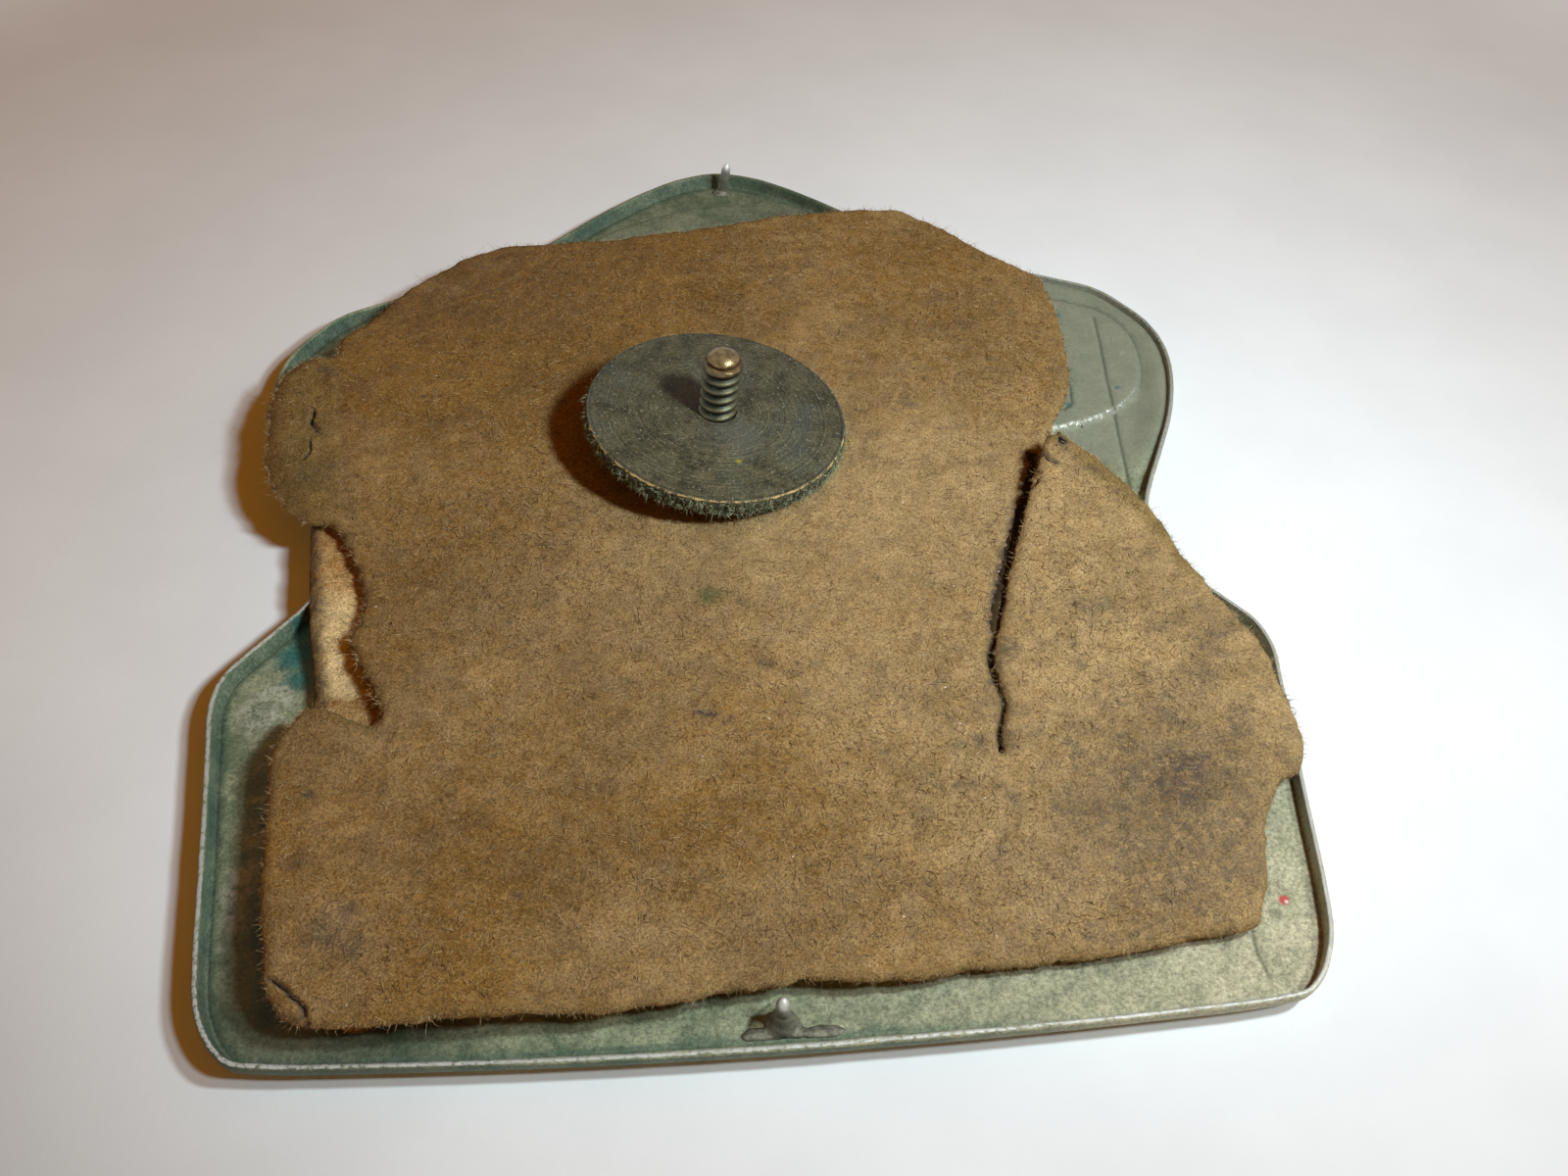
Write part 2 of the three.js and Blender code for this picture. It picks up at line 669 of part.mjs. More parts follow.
const badge = new THREE.Group();
badge.add(named("badge_shell", badgeShell(), finishes.shell));
for (const [field, ring] of Object.entries(cellRings)) {
  badge.add(named(`enamel_${field}`, enamelField(ring), finishes.enamel));
}
const upperPin = prong(upperProngPlace, upperProngHeight, upperProngTiltDegrees);
const lowerPin = prong(lowerProngPlace, lowerProngHeight, lowerProngTiltDegrees);
badge.add(named("screw_post", screwPost(), finishes.brass));
badge.add(named("post_solder", postSolder(), finishes.solder));
badge.add(named("upper_prong", upperPin, finishes.steel));
badge.add(named("upper_prong_solder", upperProngSolder(), finishes.solder));
badge.add(named("lower_prong", lowerPin, finishes.steel));
badge.add(named("lower_prong_solder", lowerProngSolder(), finishes.solder));
badge.add(named("pad_upper_ply", padUpperPly(), finishes.board));
badge.add(named("pad_lower_ply", padLowerPly(), finishes.innerBoard));

const nutCarrier = new THREE.Group();
const nutOnPost = new THREE.Group();
nutCarrier.position.set(postFoot.x, postFoot.y, panFloor);
nutCarrier.rotation.y = THREE.MathUtils.degToRad(postTiltDegrees);
nutOnPost.position.z = nutHeightOnPost - nutThickness;
nutOnPost.add(named("nut_disc", nutDisc(), finishes.darkBrass));
nutOnPost.add(named("nut_bush", nutBush(), finishes.darkBrass));
nutCarrier.add(nutOnPost);
badge.add(nutCarrier);

export default badge;
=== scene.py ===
"""A screw-back metal badge lying face down: the looks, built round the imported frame.

Sizes and places are in millimetres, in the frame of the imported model, and are turned into metres
when a mesh is made. +Z points out of the badge's back and +Y towards its domed top.
"""

import math

import bpy
import numpy as np
from mathutils import Matrix, Quaternion, Vector
from mathutils.geometry import delaunay_2d_cdt


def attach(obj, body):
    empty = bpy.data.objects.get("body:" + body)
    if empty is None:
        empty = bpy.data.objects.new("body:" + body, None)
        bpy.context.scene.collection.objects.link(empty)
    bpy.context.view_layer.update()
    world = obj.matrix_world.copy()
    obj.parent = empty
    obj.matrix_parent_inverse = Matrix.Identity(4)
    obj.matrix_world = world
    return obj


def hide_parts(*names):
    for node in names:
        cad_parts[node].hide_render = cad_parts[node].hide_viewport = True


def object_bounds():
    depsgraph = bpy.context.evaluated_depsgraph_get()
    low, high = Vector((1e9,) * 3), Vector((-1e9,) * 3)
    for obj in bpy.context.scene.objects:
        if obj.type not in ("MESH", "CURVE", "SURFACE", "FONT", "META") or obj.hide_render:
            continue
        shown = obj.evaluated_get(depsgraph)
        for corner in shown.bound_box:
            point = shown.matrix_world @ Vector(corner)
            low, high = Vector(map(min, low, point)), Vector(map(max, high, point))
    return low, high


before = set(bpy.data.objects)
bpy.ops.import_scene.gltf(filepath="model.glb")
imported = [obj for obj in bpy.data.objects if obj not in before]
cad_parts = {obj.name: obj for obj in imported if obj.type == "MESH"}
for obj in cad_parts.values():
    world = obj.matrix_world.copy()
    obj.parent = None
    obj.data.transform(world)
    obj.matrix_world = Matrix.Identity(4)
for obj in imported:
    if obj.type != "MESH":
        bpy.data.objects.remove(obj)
cad_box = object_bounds()

MM = 0.001

# Outline of the badge
HALF_WIDTH = 36.1
TOP_REACH = 42
FOOT_REACH = 45.2
OUTLINE_SHARES = [
    (0, -1), (0.3, -0.997), (0.6, -0.988), (0.76, -0.98), (0.805, -0.973), (0.833, -0.955),
    (0.855, -0.93), (0.875, -0.895), (0.89, -0.84), (0.914, -0.71), (0.954, -0.5),
    (0.965, -0.43), (0.953, -0.38), (0.92, -0.34), (0.87, -0.29), (0.83, -0.245),
    (0.812, -0.185), (0.833, -0.11), (0.9, 0.01), (0.957, 0.12), (0.99, 0.22), (1, 0.31),
    (0.985, 0.385), (0.945, 0.45), (0.89, 0.51), (0.8, 0.552), (0.665, 0.6), (0.554, 0.652),
    (0.424, 0.74), (0.3, 0.846), (0.18, 0.935), (0.09, 0.982), (0, 1),
]
DOME_CELL_SHARES = [
    (0, 0.865), (0.14, 0.835), (0.28, 0.765), (0.36, 0.68), (0.36, 0.58), (0.27, 0.43),
    (0.15, 0.36), (0, 0.335),
]
BASE_CELL_SHARES = [
    (0, -0.845), (0.4, -0.84), (0.7, -0.825), (0.78, -0.78), (0.795, -0.7), (0.82, -0.5),
    (0.8, -0.41), (0.72, -0.365), (0.44, -0.345), (0.22, -0.36), (0, -0.375),
]
LOBE_CELL_SHARES = [
    (0.48, 0.12), (0.69, 0.115), (0.83, 0.16), (0.89, 0.215), (0.915, 0.3), (0.91, 0.375),
    (0.865, 0.44), (0.8, 0.47), (0.66, 0.515), (0.52, 0.57), (0.46, 0.52), (0.45, 0.3),
]

# Heights of the shell's surfaces
FIELD_Z = 0.5
FLOOR_Z = 1.2
RIM_Z = 2.2
PLATEAU_RISE = 0.45
CELL_Z = 0.95

# Post and nut
POST_FOOT = (-0.0565 * HALF_WIDTH, 0.04 * TOP_REACH)
POST_TILT = math.radians(7.4)
POST_LENGTH = 11
THREAD_FOOT = 0.3
TIP_HEIGHT = 1.38
THREAD_RADIUS = 1.42
THREAD_DEPTH = 0.3
THREAD_PITCH = 0.794
NUT_RADIUS = 9.6
NUT_THICKNESS = 1.4
NUT_DOME = 0.22
NUT_UNDERSIDE = 4.25
KNURL_TEETH = 84
KNURL_DEPTH = 0.15
NUT_FIBRES = 4600
BUSH_RADIUS = 2.3
BUSH_BORE = 1.44
PAD_HOLE_RADIUS = 2.7

# Prongs
UPPER_PRONG = (0.017 * HALF_WIDTH, TOP_REACH - 1.8)
LOWER_PRONG = (0.003 * HALF_WIDTH, 2.05 - FOOT_REACH)
PRONG_RADIUS = 0.42
UPPER_PRONG_HEIGHT = 3.1
LOWER_PRONG_HEIGHT = 2.6
PRONG_POINT = 0.7
UPPER_PRONG_TILT = math.radians(12)
LOWER_PRONG_TILT = math.radians(1)

# The pad's outline: the parts of a torn sheet, clockwise from the left, with how ragged each is
PAD_TOP_SHARES = [
    (-0.832, -0.118), (-0.885, -0.085), (-0.92, -0.03), (-0.95, 0.03), (-0.976, 0.17),
    (-0.965, 0.275), (-0.93, 0.325), (-0.892, 0.326), (-0.868, 0.315), (-0.86, 0.38), (-0.805, 0.436),
    (-0.756, 0.5), (-0.7, 0.557), (-0.61, 0.636), (-0.518, 0.676), (-0.424, 0.68),
    (-0.26, 0.69), (-0.053, 0.717),
    (0.105, 0.745), (0.24, 0.774), (0.36, 0.79), (0.45, 0.78), (0.526, 0.726), (0.634, 0.62),
    (0.748, 0.52), (0.756, 0.45), (0.76, 0.352), (0.74, 0.188), (0.7, 0.105), (0.665, 0.05),
    (0.643, 0.014),
]
SLIT_SHARES = [
    (0.62, -0.046), (0.563, -0.155), (0.516, -0.248), (0.452, -0.396), (0.427, -0.445),
    (0.427, -0.49), (0.436, -0.527), (0.414, -0.577), (0.41, -0.605),
]
FLAP_EDGE_SHARES = [
    (0.648, -0.014), (0.683, -0.042), (0.726, -0.078), (0.765, -0.115), (0.806, -0.164),
    (0.82, -0.2), (0.828, -0.252), (0.859, -0.31), (0.88, -0.365), (0.92, -0.431),
    (0.933, -0.48), (0.931, -0.54), (0.933, -0.593), (0.925, -0.635),
]
PAD_FOOT_SHARES = [
    (0.914, -0.666), (0.87, -0.677), (0.845, -0.7), (0.826, -0.726), (0.803, -0.776),
    (0.79, -0.82), (0.77, -0.86), (0.756, -0.88), (0.728, -0.886), (0.6, -0.9), (0.44, -0.912),
    (0.29, -0.916), (0.2, -0.928), (0.12, -0.927), (0.03, -0.917), (0.015, -0.928),
    (-0.086, -0.932), (-0.258, -0.95), (-0.446, -0.949), (-0.535, -0.953), (-0.68, -0.947),
    (-0.726, -0.936), (-0.753, -0.902), (-0.785, -0.785), (-0.808, -0.64), (-0.818, -0.546),
    (-0.795, -0.5), (-0.775, -0.478), (-0.74, -0.485), (-0.69, -0.507), (-0.654, -0.524),
]
TEAR_SHARES = [
    (-0.636, -0.5), (-0.66, -0.456), (-0.694, -0.407), (-0.717, -0.366), (-0.702, -0.323),
    (-0.702, -0.276), (-0.716, -0.221), (-0.73, -0.2), (-0.76, -0.152), (-0.8, -0.122),
]
LOWER_PLY_SHARES = [
    (-0.9, 0.2), (-0.858, 0.02), (-0.842, -0.115), (-0.812, -0.28), (-0.778, -0.434),
    (-0.77, -0.66), (-0.755, -0.865), (-0.7, -0.91), (-0.655, -0.932), (-0.62, -0.94),
    (-0.58, -0.925), (-0.5, -0.91), (-0.38, -0.88), (-0.3, -0.7),
    (-0.1, -0.45), (0.16, -0.2), (0.2, 0.1), (0.12, 0.5), (-0.2, 0.62), (-0.5, 0.6),
    (-0.68, 0.47), (-0.8, 0.34),
]

# How far the plies' undersides stand above the pan's floor, at places given as shares
PLY = 0.8
LOWER_PLY = 0.7
SEAT = 0.75
OVER_RIM = 1.45
ON_PLY = 1.9
BY_TEAR = 2.15
OVER_FOLD = 2.45
SLIT_GAP = 0.46
FLAP_LIFT = 2.6
EDGE_FIBRES = 17000
UPPER_PLACE_SHARES = [
    (0, 0, ON_PLY), (0, 0.7, ON_PLY), (0.25, 0.3, ON_PLY), (-0.4, 0.3, ON_PLY), (0.2, 0, ON_PLY),
    (0.1, -0.3, ON_PLY), (-0.2, -0.75, ON_PLY), (-0.25, -0.9, ON_PLY), (0.5, 0.7, OVER_RIM),
    (0.64, 0.6, OVER_RIM), (0.74, 0.45, OVER_RIM), (0.72, 0.15, OVER_RIM), (0.6, 0, OVER_RIM),
    (-0.8, 0.42, ON_PLY), (-0.65, 0.6, ON_PLY), (-0.95, 0.2, OVER_FOLD), (-0.92, 0, OVER_FOLD),
    (-0.84, -0.12, OVER_FOLD), (-0.84, 0.1, OVER_FOLD), (-0.8, 0, OVER_FOLD),
    (-0.7, -0.25, BY_TEAR), (-0.8, -0.14, OVER_FOLD), (-0.62, -0.1, BY_TEAR),
    (-0.4, -0.3, ON_PLY), (-0.75, -0.9, BY_TEAR), (-0.78, -0.65, ON_PLY),
    (-0.45, -0.95, OVER_FOLD), (-0.4, -0.65, ON_PLY), (0, -0.93, OVER_RIM), (0, -0.5, ON_PLY),
    (0.4, -0.9, SEAT), (0.73, -0.87, SEAT), (0.78, -0.78, SEAT), (0.5, -0.7, SEAT),
    (0.92, -0.62, OVER_RIM), (0.88, -0.67, OVER_RIM), (0.93, -0.5, OVER_RIM),
    (0.85, -0.3, OVER_RIM), (0.42, -0.5, OVER_RIM), (0.4, -0.2, OVER_RIM),
]
LOWER_PLACE_SHARES = [
    (0, 0, SEAT), (-0.5, 0.4, SEAT), (-0.5, -0.5, SEAT), (0.2, 0.4, SEAT), (0.1, -0.45, SEAT),
    (-0.75, -0.6, SEAT), (-0.7, -0.9, SEAT), (-0.3, -0.9, SEAT), (-0.66, 0.1, SEAT),
    (-0.88, 0.15, OVER_RIM), (-0.86, 0, OVER_RIM), (-0.84, -0.1, OVER_RIM),
    (-0.81, -0.18, OVER_RIM), (-0.82, -0.25, OVER_RIM), (-0.65, -0.22, SEAT),
    (-0.62, -0.06, SEAT), (-0.76, -0.45, SEAT), (-0.75, 0.4, SEAT),
]

# Colours, the board's first
CARD_LIGHT = (0.43, 0.3, 0.14)
CARD_DARK = (0.27, 0.15, 0.038)
CARD_PALE = (0.5, 0.37, 0.17)
INNER_LIGHT = (0.9, 0.7, 0.35)
INNER_DARK = (0.46, 0.25, 0.08)
INNER_PALE = (0.75, 0.58, 0.32)
FELT = (0.25, 0.17, 0.054)
DARK_FIBRE = (0.06, 0.034, 0.011)
LINT_GREY = (0.2, 0.155, 0.09)
# Stains on the board, and painted shade
STAIN_AND_SHADE = (0.07, 0.062, 0.063)
# Near black, for the deepest painted shade: the raised flap's shadow, and the pits by the flap's tip
DEEP_SHADE = (0.014, 0.007, 0.003)
GREEN_MARK = (0.035, 0.085, 0.03)
BRIGHT_SPECK = (0.85, 0.8, 0.68)
CARD_LINT = ((0.6, 0.45, 0.24), (0.16, 0.1, 0.038))

PATINA_DARK = (0.155, 0.19, 0.112)
PATINA_LIGHT = (0.33, 0.355, 0.225)
# The lighter, warmer metal painted towards the pan's lower right, as painted light
WARM_DARK = (0.38, 0.355, 0.235)
WARM_LIGHT = (0.6, 0.53, 0.37)
LOBE_GREY = (0.228, 0.242, 0.182)
VERDIGRIS = (0.015, 0.13, 0.12)
PIT = (0.03, 0.045, 0.03)
FLECK = (0.42, 0.45, 0.35)
CRUST = (0.52, 0.54, 0.44)
# Darkens the pan for grime, and for painted shade beside and under the pad
GRIME_AND_SHADE = (0.018, 0.028, 0.02)
RED_CHIP = (0.5, 0.09, 0.07)
CHIP_MIDDLE = (0.8, 0.78, 0.74)
# Bright bare metal: real wear on the rim and the front, and painted light on the right lobe's cell and the
# right inner wall
BARE_METAL_AND_HIGHLIGHT = (0.4, 0.39, 0.35)

NUT_DARK = (0.0128, 0.0117, 0.0052)
NUT_LIGHT = (0.047, 0.0425, 0.0222)
NUT_GREEN = (0.034, 0.043, 0.034)
NUT_SCRATCH = (0.24, 0.22, 0.16)
NUT_SPECK = (0.36, 0.34, 0.26)
NUT_SHEEN = (0.15, 0.155, 0.14)
NUT_YELLOW = (0.3, 0.27, 0.03)
# Worn brass on the knurl's front corner, partly a painted glint
NUT_GOLD = (0.55, 0.4, 0.16)
NUT_LINT = ((0.42, 0.48, 0.31), (0.14, 0.17, 0.1))

THREAD_DARK = (0.07, 0.068, 0.04)
THREAD_LIGHT = (0.16, 0.145, 0.085)
GROOVE = (0.012, 0.014, 0.01)
THREAD_GREEN = (0.04, 0.12, 0.1)
TIP_DARK = (0.1, 0.063, 0.025)
TIP_LIGHT = (0.25, 0.18, 0.085)
# Each the dark and the light of a metal, and how rough it is
PIN_SKIN = ((0.13, 0.13, 0.1), (0.33, 0.32, 0.27), 0.42)
SOLDER_SKIN = ((0.074, 0.072, 0.053), (0.25, 0.235, 0.17), 0.62)
WORN_PIN = (0.62, 0.62, 0.56)
ENAMEL_DARK = (0.008, 0.03, 0.085)
ENAMEL_LIGHT = (0.014, 0.05, 0.125)
PINHOLE = (0.003, 0.01, 0.03)

TABLE_PALE = (0.91, 0.965, 0.985)
TABLE_NEAR_SHADE = (0.73, 0.735, 0.735)
# Where the table fades into the backdrop, in metres from the badge
TABLE_FADE = (0.1, 0.19)
BACKDROP = (0.88, 0.88, 0.87)
LAMP_COLOUR = (0.84, 0.95, 1.0)
FILL = (0.2, 0.072, 0.008)


# Plane geometry

def place(shares):
    """Places on the badge, from shares of its half width and of its reach up or down."""
    shares = np.array(shares, float).reshape(-1, 2)
    reach = np.where(shares[:, 1] > 0, TOP_REACH, FOOT_REACH)
    return np.stack((shares[:, 0] * HALF_WIDTH, shares[:, 1] * reach), 1)


def smooth_ring(points, steps):
    """A centripetal curve through a closed ring of points, with some steps on each stretch."""
    before, after, beyond = (np.roll(points, n, 0) for n in (1, -1, -2))
    gap = [
        np.sqrt(np.linalg.norm(b - a, axis=1))[:, None]
        for a, b in ((before, points), (points, after), (after, beyond))
    ]
    leave = (points - before) / gap[0] - (after - before) / (gap[0] + gap[1]) + (after - points) / gap[1]
    arrive = (after - points) / gap[1] - (beyond - points) / (gap[1] + gap[2]) + (beyond - after) / gap[2]
    rows = []
    for t in np.arange(steps) / steps:
        rows.append(
            (2 * t**3 - 3 * t**2 + 1) * points
            + (t**3 - 2 * t**2 + t) * leave * gap[1]
            + (3 * t**2 - 2 * t**3) * after
            + (t**3 - t**2) * arrive * gap[1]
        )
    return turning_left(np.stack(rows, 1).reshape(-1, 2))


def mirrored(half_shares, steps):
    right = place(half_shares)
    left = right[1:-1][::-1] * (-1, 1)
    return smooth_ring(np.vstack((right, left)), steps)


def area(ring):
    x, y = ring.T
    return (x * np.roll(y, -1) - y * np.roll(x, -1)).sum() / 2


def unit(ways):
    return ways / np.linalg.norm(ways, axis=1)[:, None]


def to_left(along):
    return np.stack((-along[:, 1], along[:, 0]), 1)


def along_ring(ring):
    return unit(np.roll(ring, -1, 0) - np.roll(ring, 1, 0))


def inset(ring, distance):
    """The ring moved inwards; distance is one number, or one for each point."""
    return ring + to_left(along_ring(ring)) * np.reshape(distance, (-1, 1))


def turning_left(ring):
    """The ring, run anticlockwise."""
    return ring if area(ring) > 0 else ring[::-1]


def evenly(line, step, closed):
    """The line's points spaced a step apart."""
    path = np.vstack((line, line[:1])) if closed else line
    length = np.concatenate(([0], np.cumsum(np.linalg.norm(np.diff(path, axis=0), axis=1))))
    count = max(int(length[-1] / step), 3)
    at = np.linspace(0, length[-1], count, endpoint=not closed)
    return np.stack((np.interp(at, length, path[:, 0]), np.interp(at, length, path[:, 1])), 1)


def inside(points, ring):
    x, y = points.T
    hit = np.zeros(len(points), bool)
    for (ax, ay), (bx, by) in zip(ring, np.roll(ring, -1, 0)):
        if ay != by:
            hit ^= ((ay > y) != (by > y)) & (x < (bx - ax) * (y - ay) / (by - ay) + ax)
    return hit


def distance(points, line, closed=True):
    """The distance of each point from a line of points."""
    ends = np.roll(line, -1, 0) if closed else line[1:]
    nearest = np.full(len(points), np.inf)
    for a, b in zip(line, ends):
        way = b - a
        share = np.clip((points - a) @ way / max(way @ way, 1e-9), 0, 1)
        nearest = np.minimum(nearest, ((points - a - share[:, None] * way) ** 2).sum(1))
    return np.sqrt(nearest)


def from_line(points, line):
    return distance(points, np.array(line, float), False)


def from_ring(points, ring):
    """The distance from a closed ring, below zero inside it."""
    return distance(points, ring[::2]) * np.where(inside(points, ring), -1, 1)


def round_steps(count):
    """Angles round a circle, and the unit circle's points there."""
    angle = np.arange(count) * 2 * math.pi / count
    return angle, np.stack((np.cos(angle), np.sin(angle)), 1)


def oval(wide, deep, count=60):
    return round_steps(count)[1] * (wide, deep)


def grid(ring, step, seed):
    """Slightly uneven points inside a ring."""
    random = np.random.default_rng(seed)
    low, high = ring.min(0), ring.max(0)
    x, y = np.meshgrid(np.arange(low[0], high[0], step), np.arange(low[1], high[1], step))
    points = np.stack((x.ravel(), y.ravel()), 1)
    points += random.uniform(-0.2, 0.2, points.shape) * step
    return points[inside(points, ring)]


def triangles(rings, inner):
    """Triangles between an outer ring and holes, through inner points, as rows of the stacked points."""
    points = np.vstack([*rings, inner]) if len(inner) else np.vstack(rings)
    edges = []
    for ring in rings:
        start = len(edges)
        edges += [(start + i, start + (i + 1) % len(ring)) for i in range(len(ring))]
    made = delaunay_2d_cdt([Vector(p) for p in points], edges, [], 0, 1e-7)
    origin = [found[0] if found else -1 for found in made[3]]
    faces = np.array([[origin[c] for c in face] for face in made[2]])
    faces = faces[(faces >= 0).all(1)]
    middle = points[faces].mean(1)
    keep = inside(middle, rings[0])
    for hole in rings[1:]:
        keep &= ~inside(middle, hole)
    return faces[keep]


# Noise, the same on every run

def _lattice(x, y, seed):
    h = (x * 374761393 + y * 668265263 + seed * 362437) & 0xFFFFFFFF
    h = ((h ^ (h >> 13)) * 1274126177) & 0xFFFFFFFF
    return ((h ^ (h >> 16)) & 0xFFFF) / 32767.5 - 1


def wobble(points, size, seed, octaves=1):
    """Smooth noise between -1 and 1 with features of a size, at each point."""
    total = np.zeros(len(points))
    for octave in range(octaves):
        p = points * 2**octave / size
        cell = np.floor(p).astype(np.int64)
        t = p - cell
        t = t * t * (3 - 2 * t)
        corners = [_lattice(cell[:, 0] + i, cell[:, 1] + j, seed + octave) for j in (0, 1) for i in (0, 1)]
        low = corners[0] + (corners[1] - corners[0]) * t[:, 0]
        high = corners[2] + (corners[3] - corners[2]) * t[:, 0]
        total += (low + (high - low) * t[:, 1]) / 2**octave
    return total


def ragged_points(points, size, reach, *seeds, octaves=2):
    """The points moved a little by noise, so that what is drawn at them has ragged edges."""
    return points + np.stack([wobble(points, size, seed, octaves) for seed in seeds], 1) * reach


def step_up(value, start, end):
    t = np.clip((value - start) / (end - start), 0, 1)
    return t * t * (3 - 2 * t)


# Meshes

def add_object(name, data):
    made = bpy.data.objects.new(name, data)
    bpy.context.scene.collection.objects.link(made)
    return made


class Build:
    """Corners in millimetres, faces and painted values, gathered piece by piece."""

    def __init__(self):
        self.corners, self.faces, self.paint, self.count = [], [], {}, 0

    def add(self, points, **paint):
        points = np.asarray(points, float).reshape(-1, 3)
        start = self.count
        self.corners.append(points)
        self.count += len(points)
        for name, value in paint.items():
            self.paint.setdefault(name, []).append((start, np.broadcast_to(value, len(points))))
        return np.arange(start, self.count)

    def loop(self, ring, z, **paint):
        return self.add(np.column_stack((ring, np.broadcast_to(z, len(ring)))), **paint)

    def band(self, low, high):
        """A closed band of faces; seen from outside, the loops run anticlockwise with high above low."""
        self.faces += np.stack((low, np.roll(low, -1), np.roll(high, -1), high), 1).tolist()

    def bands(self, loops):
        for low, high in zip(loops, loops[1:]):
            self.band(low, high)

    def fan(self, loop, tip, up=True):
        around = np.roll(loop, -1)
        pair = (loop, around) if up else (around, loop)
        self.faces += np.stack((*pair, np.full(len(loop), tip)), 1).tolist()

    def fill(self, loops, inner, height, up, **paint):
        """Fills the outer loop less the others, through inner points at a height of their own."""
        corners = np.vstack(self.corners)
        rings = [corners[loop][:, :2] for loop in loops]
        inner = np.asarray(inner, float).reshape(-1, 2)
        added = self.loop(inner, height(inner) if callable(height) else height, **paint)
        index = np.concatenate([*loops, added]).astype(int)
        faces = index[triangles(rings, inner)]
        xy = np.vstack(self.corners)[:, :2]
        a, b, c = (xy[faces[:, i]] for i in range(3))
        turn = (b - a)[:, 0] * (c - a)[:, 1] - (b - a)[:, 1] * (c - a)[:, 0]
        flip = (turn > 0) != up
        faces[flip] = faces[flip][:, ::-1]
        self.faces += faces.tolist()

    def piece(self, name, body, slot, material, replaces=(), matrix=None):
        """The finished object, riding on a body."""
        mesh = bpy.data.meshes.new(name)
        mesh.from_pydata((np.vstack(self.corners) * MM).tolist(), [], self.faces)
        for label, parts in self.paint.items():
            values = np.zeros(self.count, np.float32)
            for start, value in parts:
                values[start : start + len(value)] = value
            mesh.attributes.new(label, "FLOAT", "POINT").data.foreach_set("value", values)
        mesh.shade_smooth()
        mesh.update()
        mesh.materials.append(material)
        made = add_object(name, mesh)
        if matrix is not None:
            made.matrix_world = matrix
        bpy.context.view_layer.update()
        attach(made, body)
        if replaces:
            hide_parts(*replaces)
        return made


def turned(build, profile, segments, wave=None, **paint):
    """A closed turned body from (radius, height) rows that start and end on the axis, or close as a ring."""
    angle, around = round_steps(segments)
    loops = []
    for row, (radius, height) in enumerate(profile):
        if radius == 0:
            loops.append(build.add([(0, 0, height)], **paint))
        else:
            reach = radius + (wave(row, angle) if wave else 0)
            loops.append(build.loop(around * np.reshape(reach, (-1, 1)), height, **paint))
    ends_on_axis = len(loops[0]) == 1
    pairs = list(zip(loops, loops[1:])) + ([] if ends_on_axis else [(loops[-1], loops[0])])
    for low, high in pairs:
        if len(low) == 1:
            build.fan(high, low[0], up=False)
        elif len(high) == 1:
            build.fan(low, high[0])
        else:
            build.band(low, high)


def placed(x, y, z, tilt=0.0):
    """Where a turned piece stands: its foot in millimetres, and its lean towards +X."""
    return Matrix.Translation(Vector((x, y, z)) * MM) @ Matrix.Rotation(tilt, 4, "Y")


# Materials

